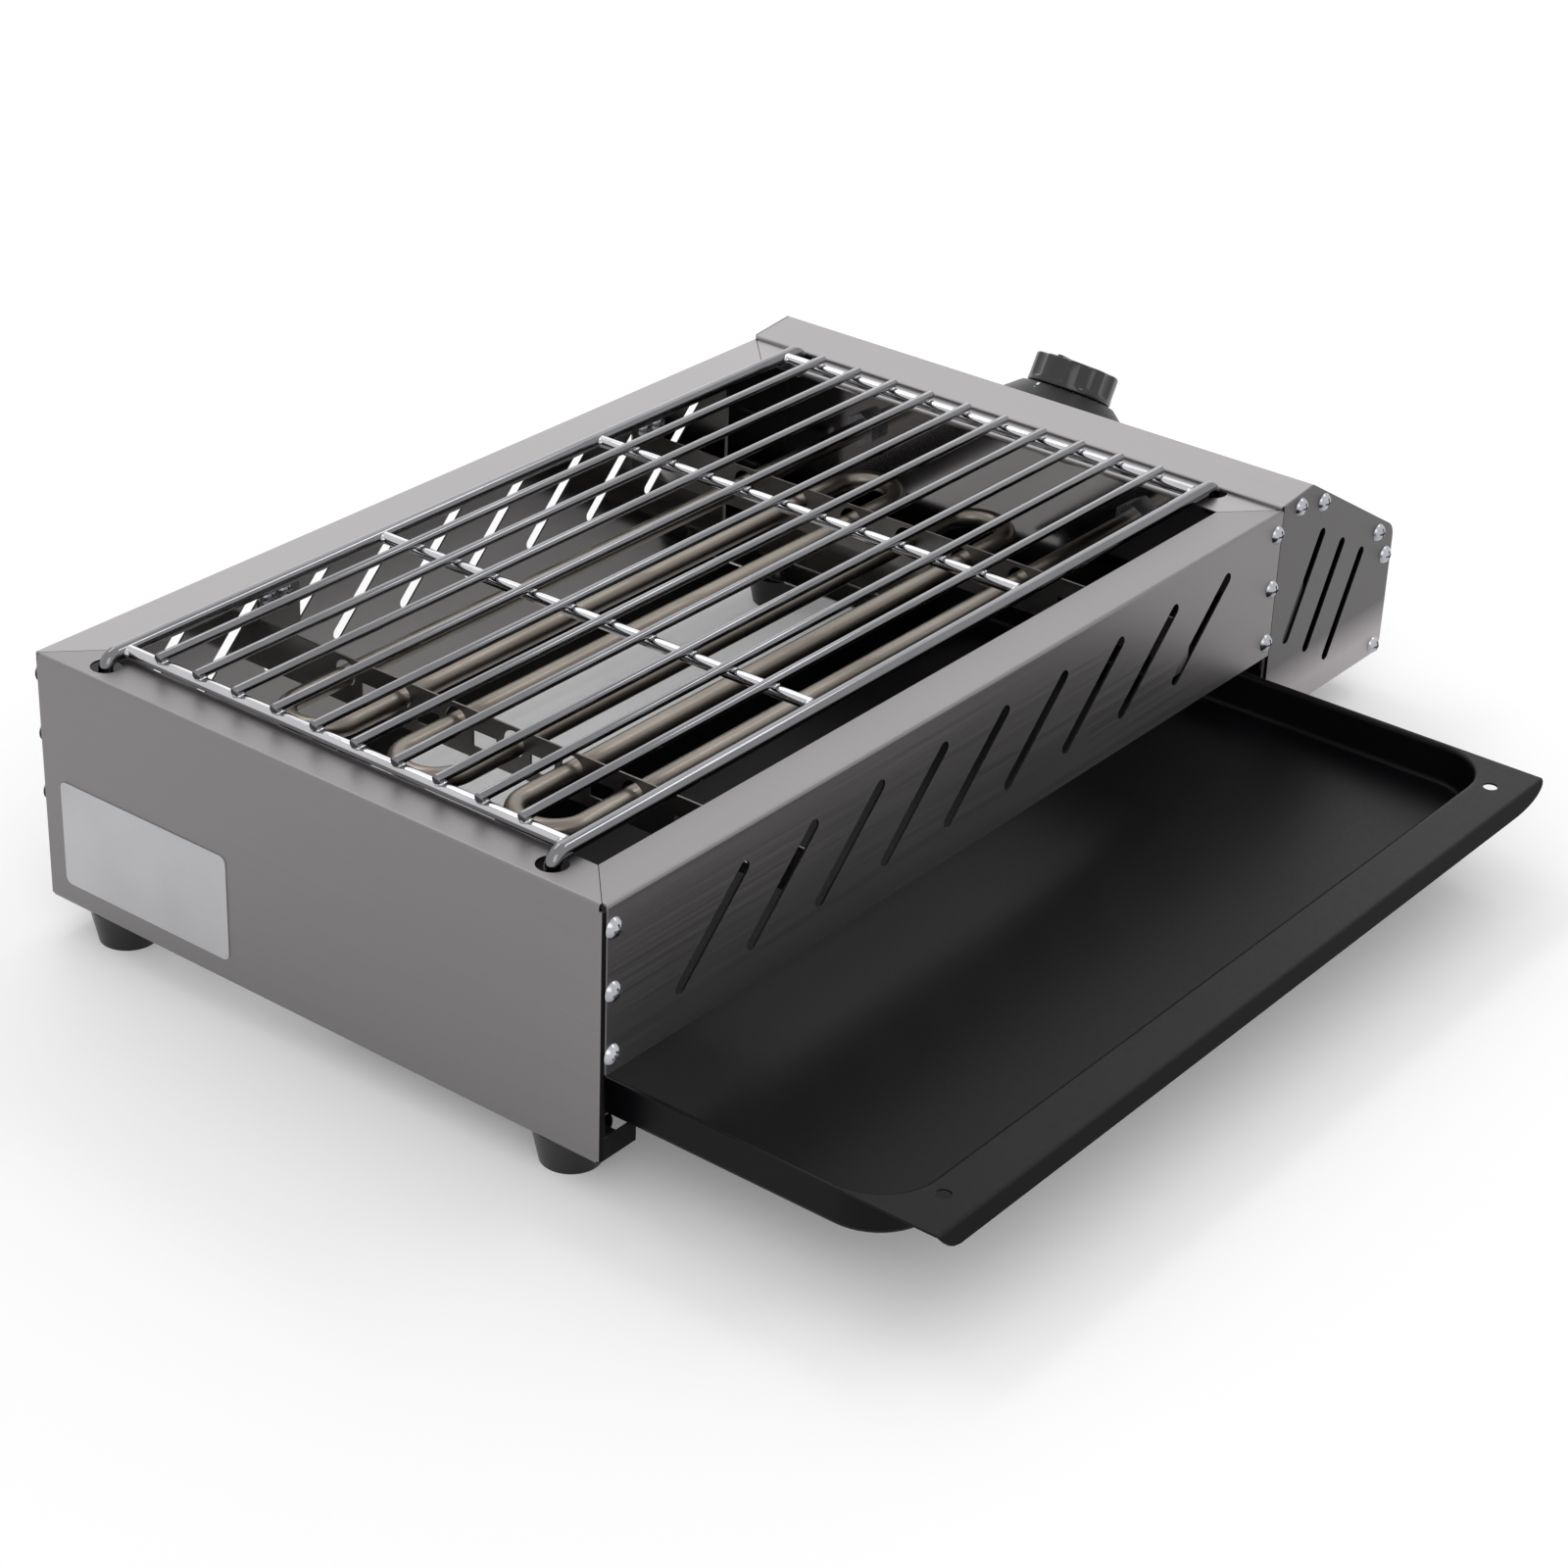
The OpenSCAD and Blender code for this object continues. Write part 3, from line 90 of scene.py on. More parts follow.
noiseSpread = {"From Min": 0.3, "From Max": 0.7}   # noise mostly stays between these two values
bumpDepth = 0.1                                    # mm, from the lowest to the highest of a bump

# Stainless sheet, belt brushed on its outer side: fine lines draw its highlights out across them.
# The inner side keeps the bright finish of the mill, and the laser leaves the edges of the slots dark.
brushedSheet = {
    "colour": "#8F8C8D",
    "darker": "#8B8889",
    "mill": "#A3A09F",
    "cutEdge": "#2A2828",
    "shaded": "#1C1B1B",      # the sill under the tray, which stands in the tray's shadow
    "paintedTableReflection": "#A19C9D",   # painted reflection: the foot of the box's plates is drawn paler, where it mirrors the table
    "footHeight": (28, 44),   # mm; the painted reflection fades out between these heights
    "grainWidth": 0.9,        # mm; real grit leaves 0.05 mm lines, drawn coarser so that they show
    "grainLength": 130,
    "cloudSize": 110,         # where the belt pressed harder
    "rough": (0.3, 0.36),
    "cloudRough": (-0.01, 0.02),
    "millRough": 0.12,
    "cutRough": 0.6,
    "bump": 0.006,
    "edgeMargin": 6,          # no slot comes this near to the sheet's own edges
    "facing": 0.7,            # cosines: what counts as looking straight one way,
    "turned": 0.5,            # and what as turned away from it
}


# The belt's lines along one axis, and a cloud where it pressed harder
def addGrain(tree, place, along):
    s = brushedSheet
    sizes = [s["grainLength"] if axis == along else s["grainWidth"] for axis in "xyz"]
    stretch = addNode(tree, "ShaderNodeMapping", {}, {"Scale": [1 / (size * mm) for size in sizes]},
                      {"Vector": place.outputs["Object"]})
    grain = addNode(tree, "ShaderNodeTexNoise", {}, {"Scale": 1.0, "Detail": 3.0},
                    {"Vector": stretch.outputs["Vector"]})
    cloud = addNode(tree, "ShaderNodeTexNoise", {}, {"Scale": 1 / (s["cloudSize"] * mm), "Detail": 1.0},
                    {"Vector": place.outputs["Object"]})
    return grain.outputs["Fac"], cloud.outputs["Fac"]


# 1 where the surface looks along a direction, 0 elsewhere
def looksAlong(tree, place, direction, least):
    cosine = addNode(tree, "ShaderNodeVectorMath", {"operation": "DOT_PRODUCT"}, {1: direction},
                     {0: place.outputs["Normal"]})
    looks = addNode(tree, "ShaderNodeMath", {"operation": "GREATER_THAN"}, {1: least},
                    {0: cosine.outputs["Value"]})
    return looks.outputs[0]


# 1 on the walls of a node's slots: faces that don't look forwards or back, away from the sheet's own edges
def slotWalls(tree, place, spot, node):
    s = brushedSheet
    low, high = boxOf(node)
    middle, half = (low[0] + high[0]) / 2, (high[0] - low[0]) / 2 - s["edgeMargin"]
    top = high[2] - s["edgeMargin"]
    sides = addNode(tree, "ShaderNodeSeparateXYZ", {}, {}, {0: place.outputs["Normal"]})
    turned = addNode(tree, "ShaderNodeMath", {"operation": "ABSOLUTE"}, {}, {0: sides.outputs["Y"]})
    isWall = addNode(tree, "ShaderNodeMath", {"operation": "LESS_THAN"}, {1: s["turned"]},
                     {0: turned.outputs[0]})
    between = addNode(tree, "ShaderNodeMath", {"operation": "COMPARE"}, {1: middle * mm, 2: half * mm},
                      {0: spot.outputs["X"]})
    below = addNode(tree, "ShaderNodeMath", {"operation": "LESS_THAN"}, {1: top * mm},
                    {0: spot.outputs["Z"]})
    within = addNode(tree, "ShaderNodeMath", {"operation": "MULTIPLY"}, {}, {
        0: between.outputs[0], 1: below.outputs[0]})
    isCut = addNode(tree, "ShaderNodeMath", {"operation": "MULTIPLY"}, {}, {
        0: within.outputs[0], 1: isWall.outputs[0]})
    return isCut.outputs[0]


# The grain runs along one axis, inner is the way that the sheet's inner side faces, and slotted is a node
# whose slots have dark walls. A factor below 1 on the colour is painted shade, which darkens a sheet to the tone
# it has as lit; dull is an addition to the roughness.
# Sill paints the tray's shadow on what looks forwards, and foot paints a reflection of the table on what lies low.
def makeBrushed(name, along, inner=(0, 0, 0), slotted=None, paintedShade=1.0, dull=0.0, sill=False, foot=False):
    s = brushedSheet
    material, tree, shader = newMaterial(name, s["colour"], 1.0, s["rough"][0])
    place = addNode(tree, "ShaderNodeTexCoord")
    spot = addNode(tree, "ShaderNodeSeparateXYZ", {}, {}, {0: place.outputs["Object"]})
    grain, cloud = addGrain(tree, place, along)
    tone = addNode(tree, "ShaderNodeMapRange", {}, noiseSpread, {"Value": grain})
    dark, light = [[c * paintedShade for c in hexToLinear(s[key])[:3]] + [1.0] for key in ("darker", "colour")]
    colour = addNode(tree, "ShaderNodeMix", {"data_type": "RGBA"}, {6: dark, 7: light},
                     {0: tone.outputs["Result"]})
    grainRough = addNode(tree, "ShaderNodeMapRange", {}, {
        **noiseSpread, "To Min": s["rough"][0], "To Max": s["rough"][1]}, {"Value": grain})
    cloudRough = addNode(tree, "ShaderNodeMapRange", {}, {
        **noiseSpread, "To Min": s["cloudRough"][0] + dull, "To Max": s["cloudRough"][1] + dull},
        {"Value": cloud})
    rough = addNode(tree, "ShaderNodeMath", {"operation": "ADD"}, {}, {
        0: grainRough.outputs["Result"], 1: cloudRough.outputs["Result"]})
    bump = addNode(tree, "ShaderNodeBump", {}, {"Strength": s["bump"], "Distance": bumpDepth * mm},
                   {"Height": grain})

    # what differs from the brushed face: a mask, its colour and its roughness
    layers = []
    # foot: a paler colour low down, a painted reflection of the table
    if foot:
        low, high = [height * mm for height in s["footHeight"]]
        isLow = addNode(tree, "ShaderNodeMapRange", {}, {
            "From Min": low, "From Max": high, "To Min": 1.0, "To Max": 0.0}, {"Value": spot.outputs["Z"]})
        layers.append((isLow.outputs["Result"], "paintedTableReflection", None))
    layers.append((looksAlong(tree, place, inner, s["facing"]), "mill", "millRough"))
    if slotted:
        layers.append((slotWalls(tree, place, spot, slotted), "cutEdge", "cutRough"))
    if sill:
        layers.append((looksAlong(tree, place, (0, -1, 0), s["turned"]), "shaded", None))
    for mask, tint, roughness in layers:
        colour = addNode(tree, "ShaderNodeMix", {"data_type": "RGBA"}, {7: hexToLinear(s[tint])}, {
            0: mask, 6: colour.outputs[2]})
        if roughness:
            rough = addNode(tree, "ShaderNodeMix", {"data_type": "FLOAT"}, {3: s[roughness]}, {
                0: mask, 2: rough.outputs[0]})
    tree.links.new(colour.outputs[2], shader.inputs["Base Color"])
    tree.links.new(rough.outputs[0], shader.inputs["Roughness"])
    tree.links.new(bump.outputs["Normal"], shader.inputs["Normal"])
    return material


# The other finishes: a soft cloud of tone, and a fine skin that breaks the gloss up; sizes in mm
def makeFinish(name, colour, darker, metallic, rough, skin, cloudSize=25, bump=0.05, **more):
    material, tree, shader = newMaterial(name, colour, metallic, rough[0], **more)
    place = addNode(tree, "ShaderNodeTexCoord")
    cloud = addNode(tree, "ShaderNodeTexNoise", {}, {"Scale": 1 / (cloudSize * mm), "Detail": 2.0},
                    {"Vector": place.outputs["Object"]})
    fine = addNode(tree, "ShaderNodeTexNoise", {}, {"Scale": 1 / (skin * mm), "Detail": 1.0},
                   {"Vector": place.outputs["Object"]})
    tone = addNode(tree, "ShaderNodeMapRange", {}, noiseSpread, {"Value": cloud.outputs["Fac"]})
    mixed = addNode(tree, "ShaderNodeMix", {"data_type": "RGBA"}, {
        6: hexToLinear(darker), 7: hexToLinear(colour)}, {0: tone.outputs["Result"]})
    roughness = addNode(tree, "ShaderNodeMapRange", {}, {
        **noiseSpread, "To Min": rough[0], "To Max": rough[1]}, {"Value": fine.outputs["Fac"]})
    normal = addNode(tree, "ShaderNodeBump", {}, {"Strength": bump, "Distance": bumpDepth * mm},
                     {"Height": fine.outputs["Fac"]})
    tree.links.new(mixed.outputs[2], shader.inputs["Base Color"])
    tree.links.new(roughness.outputs["Result"], shader.inputs["Roughness"])
    tree.links.new(normal.outputs["Normal"], shader.inputs["Normal"])
    return material


finishes = {
    "brushed_steel_body": makeBrushed("brushedStainlessBody", "x"),
    "brushed_steel_box": makeBrushed("brushedStainlessBox", "y"),
    # cold rolled stainless strip, left as it comes: duller than the brushed sheet, with no grain
    "plain_steel_brackets": makeFinish("rolledStainless", "#858280", "#777472", 1.0, (0.3, 0.42), 1.2),
    # anodised aluminium foil on the end panel, bare: paler and flatter than the steel behind it
    "blank_label": makeFinish("anodisedAluminiumFoil", "#BDBDC0", "#B4B4B7", 0.6, (0.4, 0.48), 0.8, 40),
    # black enamel, sprayed and baked: nearly matte, with a faint orange peel
    "black_enamel_tray": makeFinish("bakedBlackEnamel", "#0A0A0D", "#08080A", 0.0, (0.34, 0.4), 1.6, 60,
                                    0.015, Specular_IOR_Level=0.11),
    # bright chrome over drawn wire: mirrors its surroundings, with a faint ripple from the plating bath; its
    # colour is darkened below real chrome, painted shade for the dark room that it mirrors
    "chromed_wire": makeFinish("chromedWire", "#7D7D80", "#747477", 1.0, (0.06, 0.12), 2.5, 25, 0.02),
    # stainless tube sheath, tinted warm grey by its first heating, darker in patches
    "heater_tube": makeFinish("heatTintedSheath", "#908981", "#7E776F", 1.0, (0.29, 0.34), 3.0, 60, 0.005),
    # bright zinc plate on steel: bluish, a little milky
    "zinc_fasteners": makeFinish("brightZincPlate", "#BCBEC3", "#A6A8AD", 1.0, (0.18, 0.25), 0.8, 6),
    # pressed steatite with a thin clear glaze: warm white, soft gloss
    "ceramic": makeFinish("glazedSteatite", "#E6E0D2", "#DCD5C5", 0.0, (0.29, 0.4), 0.8),
    # brass, turned from rod: warm yellow, its gloss blurred by the tool's fine marks
    "brass_terminals": makeFinish("turnedBrass", "#C7A65A", "#B8964C", 1.0, (0.29, 0.36), 0.6),
    # copper, drawn into a fine tube: reddish, dulled by a little oxide
    "copper_sensor": makeFinish("drawnCopper", "#B87C5A", "#A66A4A", 1.0, (0.29, 0.38), 0.8),
    # phenolic resin, compression moulded in a polished die: deep black with a clear gloss
    "black_plastic_knob": makeFinish("mouldedPhenolic", "#101012", "#0D0D0F", 0.0, (0.12, 0.18), 0.6, 12,
                                     0.01, Specular_IOR_Level=0.6),
    # nylon, injection moulded with a fine spark-eroded texture: satin black
    "black_plastic_gland": makeFinish("mouldedNylon", "#222224", "#1E1E20", 0.0, (0.45, 0.55), 0.7),
    # silicone-coated glass sleeves: soft colours, no gloss
    "live_insulation": makeFinish("brownSleeve", "#6B3A22", "#5E321C", 0.0, (0.5, 0.6), 0.7),
    "neutral_insulation": makeFinish("blueSleeve", "#2F4C8C", "#29437C", 0.0, (0.5, 0.6), 0.7),
    "earth_insulation": makeFinish("greenSleeve", "#5E8A2A", "#8F9A2C", 0.0, (0.5, 0.6), 0.7, 8),
    # black rubber from a polished mould: smooth, with a broad soft sheen
    "rubber_feet": makeFinish("mouldedRubber", "#171718", "#131314", 0.0, (0.3, 0.38), 0.8, 10, 0.04,
                              Specular_IOR_Level=0.45),
}
# the bezel comes from a coarser die than the knob, so it mirrors less
satinBezel = makeFinish("satinPhenolic", "#151517", "#111113", 0.0, (0.34, 0.42), 0.6, 12, 0.03,
                        Specular_IOR_Level=0.2)
# a brighter copy of the chrome for the cross wires and welds, which lie below the bars: the lighter tone is
# painted light, standing in for the bright reflections that they show
paintedBrightChrome = makeFinish("paintedBrightChromedWire", "#C4C4C7", "#B8B8BB", 1.0, (0.05, 0.1), 2.5, 25, 0.02)
# white ink, pad printed: a thin flat film, less glossy than the resin under it
whitePrint = makeFinish("whitePadPrint", "#E4E4E4", "#DADADA", 0.0, (0.4, 0.5), 0.5)
# painted shade: the left panel, the front panel and the box's plates take a factor below 1 on the steel's colour,
# drawn darker than the same steel elsewhere for how the light falls on them and what they mirror
sheets = {
    "left_end_panel": makeBrushed("brushedStainlessLeftPaintedShade", "y", (1, 0, 0), paintedShade=0.86, dull=0.1, sill=True),
    "right_end_frame": makeBrushed("brushedStainlessRight", "y", (-1, 0, 0), sill=True),
    "front_panel": makeBrushed("brushedStainlessFrontPaintedShade", "x", (0, 1, 0), "front_panel", paintedShade=0.85, dull=0.1),
    "rear_panel": makeBrushed("brushedStainlessRear", "x", (0, -1, 0), "rear_panel"),
    # their foot is paler low down: a painted reflection of the table
    "box_front_plate": makeBrushed("brushedStainlessPlatesPaintedShade", "z", (0, 0, 0), "box_front_plate", paintedShade=0.37,
                                   foot=True),
    "knob_bezel": satinBezel,
}
sheets["box_rear_plate"] = sheets["box_front_plate"]
print("finishes made:", len(finishes) + len(sheets))

slotOf = {part["node"]: part["material_slot"] for part in frame["record"]["subparts"]}
for node, thing in frame["nodes"].items():
    finish = sheets.get(node) or finishes[slotOf[node]]
    thing.data.materials.clear()
    thing.data.materials.append(finish)


# Pieces made here, each around the CAD node that it stands for; points in mm

def addPiece(name, points, faces, body, slot, nodes=(), sharp=45, finish=None):
    mesh = bpy.data.meshes.new(name)
    mesh.from_pydata([[c * mm for c in point] for point in points], [], faces)
    work = bmesh.new()
    work.from_mesh(mesh)
    bmesh.ops.remove_doubles(work, verts=work.verts, dist=0.001 * mm)
    bmesh.ops.recalc_face_normals(work, faces=work.faces)
    work.to_mesh(mesh)
    work.free()
    mesh.shade_smooth()
    mesh.set_sharp_from_angle(angle=math.radians(sharp))
    mesh.materials.append(finish or finishes[slot])
    thing = bpy.data.objects.new(name, mesh)
    bpy.context.scene.collection.objects.link(thing)
    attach(thing, body)
    if nodes:
        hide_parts(*nodes)
    return thing


# Keeps what the modifiers make, and removes them
def applyModifiers(thing, sharp=45):
    graph = bpy.context.evaluated_depsgraph_get()
    mesh = bpy.data.meshes.new_from_object(thing.evaluated_get(graph))
    thing.modifiers.clear()
    thing.data = mesh
    mesh.shade_smooth()
    mesh.set_sharp_from_angle(angle=math.radians(sharp))


# Quads between rings of points that have the same count
def ringFaces(rings, count, closed=True):
    faces = []
    for r in range(rings - 1):
        for i in range(count if closed else count - 1):
            k = (i + 1) % count
            faces.append((r * count + i, r * count + k, (r + 1) * count + k, (r + 1) * count + i))
    return faces


# Several shapes as one list of points and one of faces
def joinShapes(shapes):
    points, faces = [], []
    for somePoints, someFaces in shapes:
        base = len(points)
        points += somePoints
        faces += [tuple(base + i for i in face) for face in someFaces]
    return points, faces


# The boxes of a node's separate solids in mm, in order
def solidBoxes(node):
    mesh = frame["nodes"][node].data
    spots = [tuple(round(c / mm, 2) for c in v.co) for v in mesh.vertices]
    leader = {spot: spot for spot in spots}

    def find(spot):
        while leader[spot] != spot:
            leader[spot] = leader[leader[spot]]
            spot = leader[spot]
        return spot

    for edge in mesh.edges:
        leader[find(spots[edge.vertices[0]])] = find(spots[edge.vertices[1]])
    groups = {}
    for spot in leader:
        groups.setdefault(find(spot), []).append(spot)
    boxes = [([min(p[i] for p in g) for i in range(3)], [max(p[i] for p in g) for i in range(3)])
             for g in groups.values()]
    return sorted(boxes)


# Drip tray: one sheet, pressed into a well with soft edges, with a lip folded down at the front
tray = {
    "sheet": 0.8,
    "sideRim": 2.0,
    "frontRim": 24.0,
    "rearCorner": 1.5,        # radius of the rim's rear corners
    "cornerRadius": 24.0,     # of the well, seen from above
    "rimRadius": 2.2,         # where the rim turns down into the well's wall
    "rimFlat": 0.4,           # how near to its bends the rim's shading stays flat
    "floorRadius": 2.2,
    "floorFlat": 3.0,         # a ring this far inside the floor's bend keeps its shading flat too
    "lipRun": 4.0,
    "lipDrop": 4.4,
    "foldRadius": 3.0,
    "lipEnds": (7.0, 30.0),   # the length over which the lip runs out, at the left and the right
    "lipLeast": 0.12,         # the share of the lip that its very ends keep
    "cutEdge": 0.25,          # how much the enamel rounds the sheet's edges
    "holeSize": 6.0,
    "holeInset": 20.5,
    "holeDistance": 17.0,
    "holeSides": 48,
    "cutterLength": 12.0,
    "cornerSteps": 12,
    "frontSteps": 60,
    "sideSteps": 8,
    "bendSteps": 5,
    "lipSteps": 10,
}


# A rectangle with round corners as a ring of points, from the front left corner's side, anticlockwise
def roundedRing(x0, x1, y0, y1, z, frontRadius, rearRadius):
    t = tray
    ring = []
    corners = [(x0, y0, 180, frontRadius), (x1, y0, 270, frontRadius),
               (x1, y1, 0, rearRadius), (x0, y1, 90, rearRadius)]
    steps = [t["frontSteps"], t["sideSteps"], t["frontSteps"], t["sideSteps"]]
    for k, (cx, cy, start, radius) in enumerate(corners):
        mx = cx + radius if cx == x0 else cx - radius
        my = cy + radius if cy == y0 else cy - radius
        arc = []
        for i in range(t["cornerSteps"] + 1):
            angle = math.radians(start + 90 * i / t["cornerSteps"])
            arc.append((mx + radius * math.cos(angle), my + radius * math.sin(angle), z))
        ring += arc
        nx, ny, _, nextRadius = corners[(k + 1) % 4]
        end = ((nx - nextRadius if nx == x1 else nx + nextRadius), ny, z) if k % 2 == 0 else (
            nx, (ny - nextRadius if ny == y1 else ny + nextRadius), z)
        first = arc[-1]
        for i in range(1, steps[k]):
            u = 0.5 - 0.5 * math.cos(math.pi * i / steps[k])   # closer near the corners
            ring.append(tuple(first[j] + (end[j] - first[j]) * u for j in range(3)))
    return ring


# The rim, and the well down to its floor, as rings of points; the lip folds down at foldY
def trayRings(low, high, foldY):
    t = tray
    (x0, y0, z0), (x1, y1, z1) = low, high
    wx0, wx1 = x0 + t["sideRim"] + t["sheet"], x1 - t["sideRim"] - t["sheet"]
    wy0, wy1 = y0 + t["frontRim"] + t["sheet"], y1 - t["sideRim"] - t["sheet"]
    flat = t["rimFlat"]
    rings = [roundedRing(x0, x1, foldY, y1, z1, 0.0, t["rearCorner"]),
             roundedRing(x0 + flat / 2, x1 - flat / 2, foldY + flat, y1 - flat / 2, z1,
                         0.0, t["rearCorner"] - flat / 4)]

    def wellRing(inset, z):
        radius = t["cornerRadius"] - t["sheet"] - inset
        rings.append(roundedRing(wx0 + inset, wx1 - inset, wy0 + inset, wy1 - inset, z, radius, radius))

    rimBend = min(t["rimRadius"], t["sideRim"])
    floorBend = t["floorRadius"]
    floorZ = z0 + t["sheet"]
    angles = [math.pi / 2 * i / t["bendSteps"] for i in range(t["bendSteps"] + 1)]
    wellRing(-rimBend - flat, z1)
    for angle in angles:   # over the rim's edge
        wellRing(-rimBend * (1 - math.sin(angle)), z1 - rimBend * (1 - math.cos(angle)))
    for angle in angles:   # round into the floor
        wellRing(floorBend * (1 - math.cos(angle)), floorZ + floorBend * (1 - math.sin(angle)))
    wellRing(floorBend + t["floorFlat"], floorZ)
    return rings


# The lip, row by row down from the fold, running out at its ends
def lipPoints(front, foldY, z1, slope):
    t = tray
    arcLength = t["foldRadius"] * slope
    tangent = t["foldRadius"] * math.tan(slope / 2)
    length = arcLength + math.hypot(t["lipRun"], t["lipDrop"]) - tangent
    points = []
    for r in range(t["lipSteps"] + 1):
        for x in front:
            away = min((x - front[0]) / t["lipEnds"][0], (front[-1] - x) / t["lipEnds"][1], 1)
            share = max(math.sqrt(1 - (1 - away) ** 2), t["lipLeast"])
            run = length * share * r / t["lipSteps"]
            turn = min(run / t["foldRadius"], slope)
            rest = max(run - arcLength, 0)
            points.append((x, foldY - t["foldRadius"] * math.sin(turn) - rest * math.cos(slope),
                           z1 - t["foldRadius"] * (1 - math.cos(turn)) - rest * math.sin(slope)))
    return points


def makeTray():
    t = tray
    low, high = boxOf("drip_tray")
    slope = math.atan2(t["lipDrop"], t["lipRun"])
    foldY = low[1] + t["lipRun"] + t["foldRadius"] * math.tan(slope / 2)
    rings = trayRings(low, high, foldY)
    count = len(rings[0])
    faces = ringFaces(len(rings), count)
    faces.append(tuple((len(rings) - 1) * count + i for i in range(count)))
    c = t["cornerSteps"]   # the front edge starts at the last point of the first corner
    front = [point[0] for point in rings[0][c:c + t["frontSteps"]]] + [high[0]]
    lipFaces = ringFaces(t["lipSteps"] + 1, len(front), False)
    shapes = [([point for ring in rings for point in ring], faces),
              (lipPoints(front, foldY, high[2], slope), lipFaces)]
    thing = addPiece("drip_tray_pressed", *joinShapes(shapes), "tray", "black_enamel_tray", ["drip_tray"])

    solid = thing.modifiers.new("sheet", "SOLIDIFY")
    solid.thickness = t["sheet"] * mm
    solid.offset = -1
    edge = thing.modifiers.new("edge", "BEVEL")
    edge.width = t["cutEdge"] * mm
    edge.segments = 2
    edge.limit_method = "ANGLE"
    edge.angle_limit = math.radians(60)
    cutters = []
    for x in (low[0] + t["holeInset"], high[0] - t["holeInset"]):
        place = (x, low[1] + t["holeDistance"], high[2])
        bpy.ops.mesh.primitive_cylinder_add(vertices=t["holeSides"], radius=t["holeSize"] / 2 * mm,
                                            depth=t["cutterLength"] * mm, location=[c * mm for c in place])
        cutters.append(bpy.context.object)
        cut = thing.modifiers.new("hole", "BOOLEAN")
        cut.object = cutters[-1]
    applyModifiers(thing)
    for cutter in cutters:
        bpy.data.objects.remove(cutter)


makeTray()
print("drip tray pressed")


# Wires of the rack: drawn steel, cut to length, bent cold and spot welded
rack = {
    "sides": 28,
    "endRound": 0.5,        # how much the cutter and the plating round a cut end
    "bend": 5.0,            # radius along the middle of a side rod
    "bendSteps": 12,
    "beadSize": (2.9, 2.4, 1.0),
    "cornerBead": (3.6, 2.6, 2.2),
    "beadUneven": 0.12,
}


# A round wire along a path in mm, with softened ends, as points and faces
def wirePoints(path, radius, softEnds=True):
    r = rack
    path = [Vector(p) for p in path]
    first, last = path[1] - path[0], path[-1] - path[-2]
    rings = [(path[i], path[i + 1] - path[i - 1], 1.0) for i in range(1, len(path) - 1)]
    if softEnds:
        soft = r["endRound"]
        # how far back each ring of an end lies, and its share of the wire's radius
        caps = [(1 - math.sin(a), 1 - soft / radius * (1 - math.cos(a)))
                for a in (math.pi / 2, math.pi / 4, 0)]
        starts = [(path[0] + first.normalized() * soft * back, first, share) for back, share in caps]
        ends = [(path[-1] - last.normalized() * soft * back, last, share) for back, share in caps[::-1]]
        rings = starts + rings + ends
    else:
        rings = [(path[0], first, 1.0)] + rings + [(path[-1], last, 1.0)]
    points = []
    side = None
    for place, way, share in rings:
        way = way.normalized()
        if side is None:
            side = way.orthogonal().normalized()
        side = (side - way * side.dot(way)).normalized()
        other = way.cross(side)
        for i in range(r["sides"]):
            angle = 2 * math.pi * i / r["sides"]
            points.append(place + (side * math.cos(angle) + other * math.sin(angle)) * radius * share)
    n = r["sides"]
    faces = ringFaces(len(rings), n)
    faces += [tuple(range(n)), tuple((len(rings) - 1) * n + i for i in range(n))]
    return points, faces


# A side rod: along the rack, and bent down into a leg at each end
def rodPath(low, high, radius):
    bend = rack["bend"]
    y, z = (low[1] + high[1]) / 2, high[2] - radius
    x0, x1 = low[0] + radius, high[0] - radius
    angles = [math.pi / 2 * i / rack["bendSteps"] for i in range(rack["bendSteps"] + 1)]
    return [(x0, y, low[2])] + [
        (x0 + bend - bend * math.cos(a), y, z - bend + bend * math.sin(a)) for a in angles] + [
        (x1 - bend + bend * math.sin(a), y, z - bend + bend * math.cos(a)) for a in angles] + [
        (x1, y, low[2])]


# A welded bead: a soft lump, uneven as weld metal is; each seed gives another lump
def beadPoints(centre, size, seed):
    work = bmesh.new()
    bmesh.ops.create_icosphere(work, subdivisions=2, radius=1.0)
    points = []
    for vert in work.verts:
        wave = math.sin(vert.co.x * 5 + seed) * math.cos(vert.co.y * 4 + seed * 1.7)
        uneven = 1 + rack["beadUneven"] * wave
        points.append([centre[i] + vert.co[i] * size[i] * uneven for i in range(3)])
    faces = [tuple(v.index for v in face.verts) for face in work.faces]
    work.free()
    return points, faces


